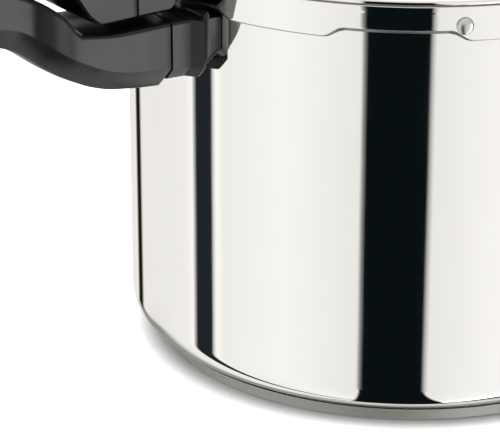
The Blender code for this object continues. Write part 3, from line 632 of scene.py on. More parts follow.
def base():
    """Brushed cap with a rolled, sloped edge and stamped rings below, over the aluminium core."""
    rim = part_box("base_cap")[1]
    top_r, top, foot_r, skin = rim.x, rim.z, 0.0989, 0.0009
    under = [(0.0, 0.0006, 0), (0.0180, 0.0006, 0.0005)]
    for ring_r in (0.020, 0.044, 0.068):
        under += [(ring_r, 0.0, 0.0004), (ring_r + 0.0105, 0.0, 0.0004), (ring_r + 0.0112, 0.0005, 0.0004),
                  (ring_r + 0.0226, 0.0005, 0.0004)]
    under[-1] = (0.0915, 0.0005, 0.0004)
    under += [(0.0922, 0.0, 0.0004), (foot_r, 0.0, 0.0012), (top_r, top, 0.00035)]
    inside = [(top_r - 0.0007, top, 0.0002), (foot_r - 0.0006, skin + 0.0001, 0.0004),
              (0.0, skin + 0.0001, 0)]
    piece("base_cup", turned(filleted(under + inside), 288), "brushed_steel", "pot", "base_cap")
    low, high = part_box("base_core")
    core = [(0.0, high.z, 0), (high.x, high.z, 0.0002), (0.0977, low.z, 0.0004), (0.0, low.z, 0)]
    piece("base_disc", turned(filleted(core), 192), "core_aluminium", "pot", "base_core")


def cooking_rack():
    """Pressed aluminium plate with a rolled rim, a raised bead, and three sizes of hole."""
    low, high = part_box("cooking_rack")
    top, rim_r, thick, bead = high.z, high.x, 0.0010, 0.0008
    upper = [(0.0085, top - bead, 0.0003), (0.030, top - bead, 0.002), (0.034, top, 0.002),
             (0.038, top, 0.002), (0.042, top - bead, 0.002), (0.078, top - bead, 0.002), (0.082, top, 0.002),
             (rim_r - 0.0012, top, 0.0020), (rim_r, low.z, 0.0003)]
    lower = [(rim_r - thick, low.z, 0.0003), (rim_r - 0.0012 - thick, top - thick, 0.0015)]
    lower += [(r, z - thick, f) for r, z, f in reversed(upper[:-2])]
    plate = turned(filleted(upper + lower), 144)
    holes = []
    rings = ((8, 0.0600, 0.0085, 0.2), (8, 0.0240, 0.0022, 0.7), (16, 0.0745, 0.0016, 0.5))
    for count, ring_r, hole_r, offset in rings:
        for n in range(count):
            a = math.tau * (n + offset) / count
            x, y = ring_r * math.cos(a), ring_r * math.sin(a)
            holes.append(post(hole_r, x, y, top - 0.006, top + 0.004, 40))
    piece("rack_plate", combine(plate, *holes), "core_aluminium", "rack", "cooking_rack")


# ---------------------------------------------------------------- lid
def lid():
    """Pressed lid: crown, terrace, groove, rolled bead, and a skirt whose eight lugs curl inwards."""
    inner_r = SKIRT_R - SHEET
    crown = filleted([
        (0.0, LID_TOP + 0.0012, 0), (0.0300, LID_TOP + 0.0011, 0.0100), (0.0620, LID_TOP, 0.0100),
        (0.1000, LID_TOP, 0.0018), (0.1035, 0.1745, 0.0018), (0.1062, 0.1706, 0.0016),
        (0.1085, 0.1696, 0.0014), (0.1118, 0.1697, 0.0010), (0.1133, 0.16893, 0.0004), (0.0, 0.1680, 0),
    ])
    crown = [p for p in crown if p[0] < 0.1131 and p[1] > 0.1690]
    bead = arc((BEAD_R - BEAD_ROUND, BEAD_MID), BEAD_ROUND, 74, -84, 14)
    step = 0.00014
    skirt = [(SKIRT_R - 0.00045, 0.16655), (SKIRT_R - 0.00055, 0.16640), (SKIRT_R - 0.00045, 0.16620),
             (SKIRT_R - 0.00012, 0.16608), (SKIRT_R, 0.16590), (SKIRT_R, 0.1655),
             (SKIRT_R, CREASE_Z + 0.0007), (SKIRT_R, CREASE_Z + 0.0003),
             (SKIRT_R - 0.15 * step, CREASE_Z + 0.00018), (SKIRT_R - 0.85 * step, CREASE_Z - 0.00018),
             (SKIRT_R - step, CREASE_Z - 0.0003), (SKIRT_R - step, CREASE_Z - 0.0007), (SKIRT_R - step, 0.1600)]
    curl_roll = 0.0011
    side_r = SKIRT_R - step
    under = filleted([
        (0.0, LID_TOP - SHEET, 0), (0.0995, LID_TOP - SHEET, 0.0016), (0.1024, LID_TOP - 0.0028, 0.0014),
        (0.1048, 0.1698, 0.0012), (0.1073, 0.1684, 0.0012), (0.1113, 0.1684, 0.0006),
        (inner_r, 0.1676, 0.0006), (inner_r, 0.1600, 0.0002), (0.0, 0.1600, 0),
    ])
    under = [p for p in under if p[1] > 0.1605]
    under.reverse()

    lip_in, lip_down, soft = 0.0012, 0.0015, 0.0003
    notch_edge = [(side_r, soft + 0.0005)]
    notch_edge += [bezier((side_r, soft), (side_r, 0.0), (side_r - 0.6 * soft, -0.75 * soft), n / 4)
                   for n in range(5)]
    tip = (side_r - lip_in, -lip_down)
    lip_start, lip_end = (tip[0] + 0.00012, tip[1] + 0.00015), (tip[0] - 0.00002, tip[1] + 0.0002)
    notch_edge += [bezier(lip_start, tip, lip_end, n / 2) for n in range(3)]
    lug_edge = [(side_r, curl_roll + 0.0004)] + arc((side_r - curl_roll, curl_roll), curl_roll, 0, -90, 7)

    def outline(angle):
        drop = share_in_sector(angle, 2.5 * CELL, CELL)
        curl = share_in_sector(angle, 1.5 * CELL, CELL)
        low = NOTCH_LOW + (SKIRT_LOW - NOTCH_LOW) * drop
        edge = [(a + (b - a) * drop, low + c + (d - c) * drop)
                for (a, c), (b, d) in zip(notch_edge, lug_edge)]
        last_r, last_z = edge[-1]
        lip_r = min(inner_r + (CURL_R - inner_r) * curl, last_r - 0.00004)
        thick = SHEET * (0.3 + 0.7 * drop)
        edge += [(lip_r + 0.0003 * curl, last_z + 0.00001), (lip_r, last_z + 0.3 * thick),
                 (lip_r, last_z + 0.7 * thick), (lip_r + 0.0003 * curl, last_z + thick),
                 (inner_r - 0.0006 * curl, last_z + thick + 0.00002),
                 (inner_r - 0.0001 * curl, last_z + thick + 0.0004), (inner_r, last_z + thick + 0.0009)]
        return crown + bead + skirt + edge + under

    height = Vector((0.0, 0.0, RIVET_Z))
    low, high = LID_TOP - 0.01, LID_TOP + 0.01
    shell = combine(
        turned(outline, FINE_SIDES, start=LUG_ANGLE),
        post(VENT_R + 0.0005, 0, 0, low, high),
        post(0.0060, -AIR_VENT_S, 0, low, high),
        post(0.0049, *PLUG_AT, low, high),
        rod(0.0017, RIVET_WAY * (SKIRT_R - 0.003) + height, RIVET_WAY * (SKIRT_R + 0.003) + height, 32),
    )
    piece("lid_shell", shell, "mirror_steel", "cover", "cover_shell")


def stop_rivet():
    """Round-headed rivet through the skirt."""
    tail, neck = SKIRT_R - SHEET - GAP, SKIRT_R + 0.00012
    dome_r, rise = 0.00310, 0.00165
    dome = [(dome_r * math.sin(math.radians(d)),
             neck + 0.00018 + (rise - 0.00018) * math.cos(math.radians(d)))
            for d in range(0, 91, 6)]
    outline = [*dome, (dome_r, neck + 0.00005), (dome_r - 0.0001, neck), (0.0014, neck), (0.0014, tail),
               (0.0019, tail), (0.0020, tail - 0.0002), (0.0020, tail - 0.0016), (0.0018, tail - 0.0018),
               (0.0, tail - 0.0018)]
    bm = turned(outline, 48)
    bm.transform(Matrix.Translation((0, 0, RIVET_Z)) @ RIVET_WAY.to_track_quat("Z", "Y").to_matrix().to_4x4())
    piece("rivet_head", bm, "screw_steel", "cover", "stop_rivet")


def sealing_ring():
    """Rubber ring with two lips round its outer groove."""
    low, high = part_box("sealing_ring")
    outer, inner, bottom, top = high.x, 0.1015, low.z, high.z
    outline = filleted([
        (inner + 0.0008, top - 0.0006, 0.0008), (outer - 0.0008, top, 0.0006), (outer, top - 0.0008, 0.0004),
        (outer, top - 0.0014, 0.0003), (outer - 0.0022, top - 0.0017, 0.0004),
        (outer - 0.0022, bottom + 0.0017, 0.0004), (outer, bottom + 0.0014, 0.0003),
        (outer, bottom + 0.0008, 0.0004), (outer - 0.0008, bottom, 0.0006), (inner + 0.0030, bottom, 0.0005),
        (inner + 0.0022, bottom + 0.0004, 0.0004), (inner, bottom + 0.0002, 0.0005),
        (inner, top - 0.0012, 0.0005),
    ], 4, 0.0003)
    piece("gasket_ring", turned(outline, 192), "grey_rubber", "seal", "sealing_ring")


# ---------------------------------------------------------------- vents and valves
def vent_pipe():
    """Vent pipe with a hexagon at its foot, and its washer and nut under the lid."""
    seat = LID_TOP + 0.0012 + GAP
    bore, pipe_r, top = 0.0012, 0.0032, VENT_TOP
    upper = filleted([
        (bore, top, 0.0002), (0.0026, top, 0.0004), (pipe_r, top - 0.0012, 0.0004),
        (pipe_r, seat + 0.0052, 0.0006), (0.0050, seat + 0.0044, 0.0004), (0.0052, seat + 0.0040, 0.0003),
        (0.0079, seat + 0.0032, 0.0003), (0.0079, seat + 0.0002, 0.0002), (0.0077, seat, 0.0001),
        (VENT_R, seat, 0.0), (VENT_R, seat - 0.0012, 0.0),
    ], 4, 0.0003)
    upper = [p for p in upper if p[1] >= seat - 0.0011 and (p[1] > seat + 0.001 or p[0] > 0.002)]
    thread = []
    level, pitch = LID_TOP - SHEET - 0.0004, 0.0007
    while level > LID_TOP - 0.0080:
        thread += [(VENT_R, level), (VENT_R - 0.00033, level - pitch / 2)]
        level -= pitch
    tail = [(VENT_R - 0.0004, LID_TOP - 0.0085), (bore, LID_TOP - 0.0085)]

    def outline(angle):
        flat = math.cos((angle + math.pi / 6) % (math.pi / 3) - math.pi / 6)
        limit = 0.0069 / flat
        hexagon = [(min(r, limit) if seat + 0.0001 < z < seat + 0.0036 else r, z) for r, z in upper]
        return hexagon + thread + tail

    piece("vent_stem", turned(outline, 96), "screw_steel", "cover", "vent_pipe")
    under, inner = LID_TOP - SHEET - GAP, VENT_R + GAP
    washer = filleted([(inner, under, 0.0001), (0.0086, under, 0.0003), (0.0086, under - 0.0010, 0.0003),
                       (inner, under - 0.0010, 0.0001)], 3, 0.0002)
    piece("vent_washer_fine", turned(washer, 72), "bracket_steel", "cover", "vent_washer")
    nut_top, nut_low, across = under - 0.0010 - GAP, LID_TOP - 0.0072, 0.0075

    def nut_outline(angle):
        flat = across / math.cos((angle + math.pi / 6) % (math.pi / 3) - math.pi / 6)
        shoulder = min(flat, 0.0080)
        return [(inner, nut_top), (shoulder, nut_top), (flat, nut_top - 0.0004), (flat, nut_low + 0.0004),
                (shoulder, nut_low), (inner, nut_low)]

    piece("vent_nut_fine", turned(nut_outline, 96), "screw_steel", "cover", "vent_nut")


def pressure_regulator():
    """Turned weight with a rolled waist and a ribbed plastic cap."""
    low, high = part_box("pressure_regulator")
    bottom, top, waist, bore = low.z, high.z, 0.1905, 0.0037
    weight = filleted([
        (0.0, top, 0), (0.0085, top, 0.0003), (0.0092, top - 0.0006, 0.0003), (0.0095, 0.2040, 0.0005),
        (0.0138, 0.2032, 0.0006), (0.0146, 0.2020, 0.0008), (0.0146, 0.1985, 0.0002),
        (0.0143, 0.1982, 0.0002), (0.0143, 0.1976, 0.0002), (0.0146, 0.1973, 0.0002),
        (0.0146, waist + 0.0015, 0.0010), (0.0136, waist, 0.0008), (0.0112, waist - 0.0008, 0.0006),
        (0.0108, bottom + 0.0006, 0.0004), (0.0102, bottom, 0.0003), (bore, bottom, 0.0003),
        (bore, VENT_TOP + GAP, 0.0004), (0.0, VENT_TOP + GAP, 0),
    ], 5, 0.0003)
    piece("regulator_weight", turned(weight, 144), "mirror_steel", "regulator", "pressure_regulator")
    low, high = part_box("regulator_cap")
    bottom, top, ribs = low.z, high.z, 20
    cap = filleted([
        (0.0, top - 0.0004, 0), (0.0060, top - 0.0004, 0.0010), (0.0072, top, 0.0010), (0.0090, top, 0.0008),
        (0.0104, top - 0.0010, 0.0010), (0.0110, top - 0.0028, 0.0012), (0.0098, bottom + 0.0050, 0.0030),
        (0.0112, bottom + 0.0014, 0.0008), (0.0111, bottom, 0.0003), (0.0, bottom, 0),
    ], 6, 0.0003)

    def outline(angle):
        groove = 0.0004 * (0.5 - 0.5 * math.cos(ribs * angle)) ** 3
        return [(r - groove if bottom + 0.0016 < z < top - 0.0012 and r > 0.009 else r, z) for r, z in cap]

    piece("regulator_knob", turned(outline, 240), "cap_plastic", "regulator", "regulator_cap")


def overpressure_plug():
    """Rubber plug with a ringed dome."""
    above, below = LID_TOP + GAP, LID_TOP - SHEET - GAP
    outline = filleted([
        (0.0, above + 0.0034, 0), (0.0022, above + 0.0033, 0.0006), (0.0028, above + 0.0028, 0.0004),
        (0.0034, above + 0.0030, 0.0004), (0.0042, above + 0.0028, 0.0008), (0.0066, above + 0.0014, 0.0008),
        (0.0070, above, 0.0003), (0.0045, above, 0.0002), (0.0045, below, 0.0002), (0.0060, below, 0.0004),
        (0.0052, below - 0.0026, 0.0008), (0.0, below - 0.0030, 0),
    ], 4, 0.0002)
    piece("plug_dome", turned(outline, 72, PLUG_AT), "black_rubber", "cover", "overpressure_plug")


def air_vent():
    """Rubber gasket in the lid, and the metal plunger that rises in it."""
    above, below = LID_TOP + GAP, LID_TOP - SHEET - GAP
    bore, neck, flange = 0.0034, 0.0056, 0.0075
    gasket = filleted([
        (bore, above + 0.0016, 0.0003), (flange - 0.0006, above + 0.0016, 0.0004),
        (flange, above + 0.0010, 0.0004), (flange, above, 0.0003), (neck, above, 0.0002),
        (neck, below, 0.0002), (flange, below, 0.0004), (flange, below - 0.0020, 0.0006),
        (bore, below - 0.0020, 0.0003),
    ], 4, 0.0002)
    place = (-AIR_VENT_S, 0.0)
    piece("vent_gasket", turned(gasket, 72, place), "black_rubber", "cover", "air_vent_gasket")
    low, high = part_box("air_vent_plunger")
    stem, tip, collar, head, collar_low = 0.0030, 0.0025, 0.0060, 0.0050, above + 0.0024
    plunger = filleted([
        (0.0, high.z, 0), (tip - 0.0004, high.z, 0.0005), (tip, high.z - 0.0010, 0.0004),
        (tip, collar_low + 0.0015, 0.0002), (collar, collar_low + 0.0015, 0.0003),
        (collar, collar_low, 0.0003), (stem, collar_low, 0.0002), (stem, 0.1672, 0.0002),
        (head, 0.1672, 0.0004), (head, low.z, 0.0005), (0.0, low.z, 0),
    ], 4, 0.0002)
    piece("plunger_fine", turned(plunger, 64, place), "screw_steel", "plunger", "air_vent_plunger")


# ---------------------------------------------------------------- screws and brackets
def screw(name, node, x, y, parent_body, head_low, tip_z, head_r):
    """Pan-head screw driven upwards, with a cross recess and a rolled thread."""
    shank_r, head = 0.0019, 0.0026
    thread = []
    level, pitch = head_low + head + 0.0012, 0.0008
    while level < tip_z - 0.0016:
        thread += [(shank_r - 0.0003, level), (shank_r, level + pitch / 2)]
        level += pitch
    outline = [(0.0, tip_z), (shank_r - 0.0010, tip_z), (shank_r - 0.0003, tip_z - 0.0008)]
    outline += list(reversed(thread)) + [(shank_r - 0.0002, head_low + head)]
    outline += [(head_r - 0.0002, head_low + head), (head_r, head_low + head - 0.0003),
                (head_r, head_low + 0.0012)]
    outline += [(head_r * math.cos(math.radians(d)), head_low + 0.0012 - 0.0012 * math.sin(math.radians(d)))
                for d in (15, 30, 45, 60, 75)]
    outline += [(0.0, head_low)]
    body = turned(outline, 48, (x, y))
    arms = []
    for wide, deep in ((0.0022, 0.0004), (0.0004, 0.0022)):
        rows = [[(x + sx * wide * k, y + sy * deep * k, z) for sx, sy in ((-1, -1), (1, -1), (1, 1), (-1, 1))]
                for z, k in ((head_low - 0.0010, 1.1), (head_low + 0.0016, 0.75))]
        arms.append(lofted(rows))
    piece(name, combine(body, *arms), "screw_steel", parent_body, node)


def bracket(name, node, sign, reach, half, pad_half, pad_low, pad_high, low, holes):
    """Sheet-steel tongue with a rounded end, on a curved pad welded to the pot."""
    high = low + TONGUE_THICK
    plan = [(0.1060, -half), *arc((reach - 0.003, -half + 0.003), 0.003, -90, 0, 8),
            *arc((reach - 0.003, half - 0.003), 0.003, 0, 90, 8), (0.1060, half)]
    tongue = slab([(sign * x, y) for x, y in plan], low, high)
    pad_plan = rounded_rectangle((0.0, (pad_low + pad_high) / 2), pad_half, (pad_high - pad_low) / 2, 0.003)
    pad = lofted([[(sign * x, y, z) for y, z in pad_plan] for x in (0.1000, POT_R + 0.0030)])
    outer = turned([(POT_R + GAP + 0.0017, 0.10), (POT_R + GAP + 0.0017, 0.20), (POT_R + GAP, 0.20),
                    (POT_R + GAP, 0.10)],
                   FINE_SIDES)
    pad = combine(pad, ("INTERSECT", outer))
    steps = [post(POT_R + GAP, 0, 0, 0.1, 0.2, FINE_SIDES), ("UNION", pad)]
    steps += [post(0.0024, sign * x, y, low - 0.01, high + 0.01, 32) for x, y in holes]
    piece(name, combine(tongue, *steps), "bracket_steel", "pot", node)


def tongue_slot(reach, low, half=0.0094):
    """Room for a bracket's tongue inside a handle piece."""
    return box((-reach - 0.0004, -half, low - 0.0004), (-0.1000, half, low + TONGUE_THICK + 0.0004))


# ---------------------------------------------------------------- body handle
BODY_STATIONS = [
    (BODY_SEAM_S + GAP, 0.1350, 0.1520, GRIP_HALF), (0.1340, 0.1360, 0.1520, GRIP_HALF),
    (0.1450, 0.1376, 0.1520, 0.0174), (0.1520, 0.1397, 0.1526, 0.0171), (0.1580, 0.1425, 0.1536, 0.0170),
    (0.1605, 0.1438, 0.1541, 0.01702), (0.1640, 0.1457, 0.1570, 0.0171), (0.1670, 0.1476, 0.1610, 0.01725),
    (0.1720, 0.1510, 0.1655, 0.0175), (0.1770, 0.1548, 0.1688, 0.0179), (0.1830, 0.1590, 0.1722, 0.0184),
    (0.1890, 0.1620, 0.1745, 0.0185), (0.1960, 0.1635, 0.1758, 0.0185), (0.2150, 0.1642, 0.1768, 0.0178),
    (0.2450, 0.1645, 0.1773, 0.0168), (TIP_S - NOSE, 0.1648, 0.1778, 0.0172),
]


def collar_outline(s, inset):
    """The collar's outline at distance s: its lower edge climbs towards the pot, its upper edge is bowed."""
    front_s, middle_s, reach = 0.1135, 0.1105, 0.0034
    bow = math.sqrt(max(0.0, 1 - ((s - middle_s) / reach) ** 2))
    low = 0.1334 + 0.0046 * min(1.2, max(0.0, (front_s - s) / 0.0062))
    high = 0.1526 + 0.0030 * bow
    half, upper, lower, arch = 0.0230 - inset, 0.0010, 0.0036, 0.0004
    points = arc((half - lower, low + lower), lower, -90, 0, 8)
    points += arc((half - upper, high - arch - upper), upper, 0, 80, 6)
    points += [(-u * (half - upper), high - arch * u * u) for u in (-0.9, -0.6, -0.3, 0.0, 0.3, 0.6, 0.9)]
    points += arc((upper - half, high - arch - upper), upper, 100, 180, 6)
    points += arc((lower - half, low + lower), lower, 180, 270, 8)
    return [(-s, y, z) for y, z in points]


def body_handle_guard():
    """Inner block with a collar that fits round the pot below the lid's skirt."""
    block_half, flare_half = 0.0181, 0.0224
    rows = [(0.1060, 0.1420, 0.1500, block_half), (0.1122, 0.1400, 0.1504, block_half),
            (0.1128, 0.1342, 0.1514, flare_half), (0.1135, 0.1340, 0.1516, flare_half - 0.0001),
            (0.1165, 0.1340, 0.1516, block_half), (0.1172, 0.1340, 0.1516, block_half),
            (0.1190, 0.1341, 0.1518, block_half), (BODY_SEAM_S - GAP, 0.1343, 0.1520, block_half)]
    block = grip(rows, 0.0052, 0.0008, 0.0014, 0.0003, 0.0)
    collar = [
        collar_outline(s, inset) for s, inset in (
            (0.1050, -0.0004), (0.1060, -0.0004), (0.1070, -0.0004), (0.1080, -0.0003), (0.1090, -0.0002),
            (0.1098, -0.0001), (0.1108, 0.0), (0.1118, 0.0001), (0.1124, 0.0002), (0.1128, 0.0003),
            (0.1131, 0.0005), (0.1133, 0.0007), (0.1135, 0.0011))
    ]
    guard = combine(
        block,
        ("UNION", lofted(collar)),
        post(POT_R + GAP, 0, 0, 0.10, 0.20, FINE_SIDES),
        post(SKIRT_R + 0.0005, 0, 0, 0.1524, 0.20, FINE_SIDES),
        tongue_slot(0.1300, TONGUE_LOW),
        box((-POT_R - 0.0025, -0.0144, 0.1356), (-0.1000, 0.0144, 0.1504)),
    )
    piece("body_handle_block", guard, "phenolic", "pot", "body_handle_guard")


def body_handle():
    """Lower grip: waisted, deeply hollowed from above, with the lock pin's socket."""
    stations = eased(BODY_STATIONS, 110)
    floor = [(0.158, 0.1552), (0.168, 0.1580), (0.180, 0.1630), (0.195, 0.1665), (0.230, 0.1675),
             (0.262, 0.1680)]
    handle = combine(
        grip(stations, 0.0096, 0.0008, 0.0016, 0.0004, NOSE),
        trough(eased(floor, 40), read_at(stations, 2)),
        tongue_slot(0.1520, TONGUE_LOW),
        post(SHANK_HOLE, -SCREW_BODY_S, 0, 0.1300, 0.1485),
        post(HEAD_HOLE, -SCREW_BODY_S, 0, 0.1250, 0.1368),
        post(0.0032, -PIN_S, 0, 0.1470, 0.1560),
    )
    piece("body_grip", handle, "phenolic", "pot", "body_handle")


# ---------------------------------------------------------------- helper handle
def helper_handle():
    """Short loop handle with rounded bars, its bracket and two screws."""
    low, high = 0.1380, 0.1510
    round_r = 0.0048
    levels = [(round_r * (1 - math.sin(a)), low + round_r * (1 - math.cos(a)))
              for a in (math.pi / 2 * n / 8 for n in range(9))]
    levels += [(inset, high - (z - low)) for inset, z in reversed(levels)]
    rings = []
    for side, middle, half_x, half_y, corner in (
        (1, 0.13265, 0.02135, 0.0380, 0.0150), (-1, 0.13375, 0.00975, 0.0240, 0.0080),
    ):
        for inset, z in levels[::side]:
            shrink = side * inset
            outline = rounded_rectangle((middle, 0.0), half_x - shrink, half_y - shrink,
                                        max(corner - shrink, 0.001))
            rings.append([(x, y, z) for x, y in outline])
    loop = grid(rings, closed_profile=True)
    tongue_low, reach, x, y = 0.1436, 0.1220, 0.1180, 0.0140
    steps = [box((0.1000, -0.0204, tongue_low - 0.0004), (reach + 0.0004, 0.0204, tongue_low + 0.0029))]
    for side in (-1, 1):
        steps.append(post(SHANK_HOLE, x, side * y, 0.1300, 0.1492))
        steps.append(post(0.0045, x, side * y, 0.1300, 0.1414))
    piece("helper_grip", combine(loop, *steps), "phenolic", "pot", "helper_handle")
    bracket("helper_bracket_fine", "helper_handle_bracket", 1, reach, 0.0200, 0.0200, 0.1385, 0.1505,
            tongue_low,
            [(x, -y), (x, y)])
    for name, side in (("helper_screw_right", -1), ("helper_screw_left", 1)):
        screw(name + "_fine", name, x, side * y, "pot", 0.1385, 0.1488, 0.0040)


# ---------------------------------------------------------------- cover handle
COVER_STATIONS = [
    (COVER_SEAM_S + 0.0002, COVER_LOW, 0.1935, GRIP_HALF), (0.1530, COVER_LOW, 0.1941, GRIP_HALF),
    (0.1557, 0.1589, 0.1942, GRIP_HALF), (0.1587, 0.1620, 0.1943, GRIP_HALF),
    (0.1607, 0.1650, 0.1944, GRIP_HALF), (0.1628, 0.1682, 0.1946, GRIP_HALF),
    (0.1680, 0.1745, 0.1950, GRIP_HALF), (0.1740, 0.1790, 0.1957, GRIP_HALF),
    (0.1840, 0.1808, 0.1968, GRIP_HALF), (0.2000, 0.1813, 0.1980, GRIP_HALF),
    (0.2200, 0.1816, 0.1986, 0.0173), (0.2450, 0.1818, 0.1990, 0.0168),
    (TIP_S - NOSE, 0.1820, 0.1990, 0.0172),
]


def strap_slot(near, far):
    """Room for the strap in a wall of the cover handle."""
    return box((-far, -0.0094, STRAP_LOW - 0.0004), (-near, 0.0094, STRAP_LOW + STRAP_THICK + 0.0004))


def cover_handle_bracket():
    """Strap with rounded ends, slotted where the lever swings, with a hole for the screw."""
    x0, x1, half = 0.0950, 0.1520, 0.0090
    plan = rounded_rectangle((-(x0 + x1) / 2, 0.0), (x1 - x0) / 2, half, 0.0025)
    slot_plan = rounded_rectangle((-0.1265, 0.0), 0.0100, 0.0055, 0.0015)
    low, high = STRAP_LOW - 0.005, STRAP_LOW + 0.005
    strap = combine(
        slab(plan, STRAP_LOW, STRAP_LOW + STRAP_THICK),
        slab(slot_plan, low, high),
        post(0.0024, -SCREW_COVER_S, 0, low, high),
    )
    piece("cover_strap", strap, "bracket_steel", "cover", "cover_handle_bracket")


def cover_handle_guard():
    """Inner block of the cover handle: it reaches over the lid and houses the lock."""
    over, beside, pocket_half, pocket_top = LID_TOP + 0.0016, 0.1718, 0.0120, 0.1895
    stations = softened([
        (0.0752, over + 0.0008, 0.1888, 0.0138), (0.0780, over, 0.1908, 0.0166),
        (0.0840, over, 0.1918, GRIP_HALF), (0.1040, over, 0.1924, GRIP_HALF),
        (0.1105, over, 0.1928, GRIP_HALF), (0.1128, beside, 0.1929, GRIP_HALF),
        (0.1226, beside, 0.1931, GRIP_HALF), (0.1230, 0.1592, 0.1931, GRIP_HALF),
        (0.1244, COVER_LOW, 0.1931, GRIP_HALF), (COVER_SEAM_S - 0.0002, COVER_LOW, 0.1935, GRIP_HALF),
    ], 0.0016)
    guard = combine(
        grip(stations, 0.0012, 0.0016, 0.0022, 0.0004, 0.0),
        box((-0.1212, -pocket_half, 0.1600), (-0.0775, pocket_half, pocket_top)),
        box((-0.1365, -pocket_half, 0.1612), (-0.1205, pocket_half, pocket_top)),
        post(0.0023, -PIN_S, 0, 0.1500, 0.1650),
        strap_slot(0.1300, 0.1450),
        post(0.0045, -AIR_VENT_S, 0, 0.1850, 0.1980),
        rod(0.0015, (-PIVOT_S, -0.0165, PIVOT_Z), (-PIVOT_S, 0.0165, PIVOT_Z), 32),
    )
    piece("cover_handle_block", guard, "phenolic", "cover", "cover_handle_guard")


def cover_handle():
    """Upper grip, hollowed from below."""
    stations = eased(COVER_STATIONS, 110)
    ceiling = [(0.158, 0.1900), (0.175, 0.1925), (0.200, 0.1945), (0.230, 0.1950), (0.262, 0.1950)]
    x = -SCREW_COVER_S
    handle = combine(
        grip(stations, 0.0014, 0.0018, 0.0022, 0.0004, NOSE),
        trough(eased(ceiling, 40), read_at(stations, 1), up=-1.0),
        strap_slot(0.1300, 0.1524),
        post(SHANK_HOLE, x, 0, 0.1500, 0.1850),
        post(HEAD_HOLE, x, 0, 0.1500, 0.1632),
    )
    piece("cover_grip", handle, "phenolic", "cover", "cover_handle")


# ---------------------------------------------------------------- cover lock
def cover_lock():
    """Rocking lever, its axle and the lock pin."""
    thick, half, inner_s, outer_s = 0.0024, 0.0040, 0.0893, 0.1325
    under = PIVOT_Z - thick / 2
    plan = rounded_rectangle((-(inner_s + outer_s) / 2, 0.0), (outer_s - inner_s) / 2, half, 0.0022)
    lever = combine(
        slab(plan, under, under + thick),
        ("UNION", rod(0.0030, (-PIVOT_S, -half - 0.001, PIVOT_Z), (-PIVOT_S, half + 0.001, PIVOT_Z))),
        rod(0.0015, (-PIVOT_S, -0.0080, PIVOT_Z), (-PIVOT_S, 0.0080, PIVOT_Z), 32),
    )
    piece("rocker", lever, "bracket_steel", "lever", "lock_lever")
    end = 0.0161
    axle = filleted([(0.0, end, 0), (0.0012, end, 0.0003), (0.0012, -end, 0.0003), (0.0, -end, 0)], 4, 0.0003)
    bm = turned(axle, 32)
    bm.transform(Matrix.Translation((-PIVOT_S, 0.0, PIVOT_Z)) @ Matrix.Rotation(math.pi / 2, 4, "X"))
    piece("rocker_axle", bm, "screw_steel", "cover", "lever_axle")
    stem, head, head_low = 0.0020, 0.0035, PIN_TOP - 0.0018
    pin = filleted([
        (0.0, PIN_TOP, 0), (head, PIN_TOP, 0.0004), (head, head_low, 0.0003), (stem, head_low, 0.0002),
        (stem, PIN_LOW + 0.0007, 0.0003), (stem - 0.0006, PIN_LOW, 0.0003), (0.0, PIN_LOW, 0),
    ], 4, 0.0003)
    piece("pin_fine", turned(pin, 48, (-PIN_S, 0.0)), "screw_steel", "pin", "lock_pin")


def lock_pin_spring():
    """Round-wire spring with closed ends."""
    wire_r, coil_r, low, high = 0.0004, 0.0030, 0.1620, PIN_TOP - 0.0026
    turns, per_turn, sides = 5, 28, 12
    axis = Vector((-PIN_S, 0, 0))
    rows = []
    for n in range(turns * per_turn + 1):
        a = math.tau * n / per_turn
        centre = Vector((coil_r * math.cos(a), coil_r * math.sin(a),
                         low + (high - low) * n / (turns * per_turn)))
        out = Vector((math.cos(a), math.sin(a), 0.0))
        rows.append([
            tuple(axis + centre + out * wire_r * math.cos(b) + Vector((0, 0, wire_r * math.sin(b))))
            for b in (math.tau * k / sides for k in range(sides))
        ])
    piece("pin_spring", lofted(rows), "screw_steel", "cover", "lock_pin_spring")


# ---------------------------------------------------------------- stage
def stage():
    """Pale floor, ceiling light and camera."""
    half_size, drop = 4.0, 0.0002
    bm = bmesh.new()
    bmesh.ops.create_grid(bm, x_segments=8, y_segments=8, size=half_size)
    floor = new_object("floor", bm)
    floor.location.z = -drop
    pale = finish_material("pale_floor", 0.0, {}, lambda tree, place: (
        blend_colour(tree, noise(tree, place, 3.0), (0.900, 0.902, 0.905), (0.915, 0.915, 0.915)),
        spread(tree, noise(tree, place, 9.0), 0.75, 0.85), bumps(tree, (noise(tree, place, 40.0), 0.00002))))
    floor.data.materials.append(pale)
    floor.visible_glossy = False

    light = bpy.data.lights.new("ceiling", "SUN")
    light.angle = math.radians(70)
    light.energy = CEILING_POWER
    lamp = bpy.data.objects.new("ceiling", light)
    lamp.visible_glossy = False
    bpy.context.scene.collection.objects.link(lamp)

    camera = bpy.data.cameras.new("camera")
    camera.sensor_width = 36.0
    camera.lens = 192.65
    camera.clip_start, camera.clip_end = 0.05, 20.0
    view = bpy.data.objects.new("camera", camera)
    view.location = (-0.6372, -0.7594, 0.4510)
    view.rotation_euler = (math.radians(90.0 - 22.60), 0.0, math.radians(-36.43))
    bpy.context.scene.collection.objects.link(view)
    bpy.context.scene.camera = view
    bpy.context.scene.view_settings.view_transform = "Standard"


def panel_ramp(tree, share, panels):
    """A colour for each bearing."""
    ramp = add_node(tree, "ValToRGB", {0: share})
    stops = ramp.color_ramp.elements
    while len(stops) < len(panels):
        stops.new(0.5)
    for stop, (bearing, colour) in zip(stops, panels):
        stop.position = (bearing + 180.0) / 360.0
        stop.color = (*colour, 1.0)
    return ramp.outputs[0]


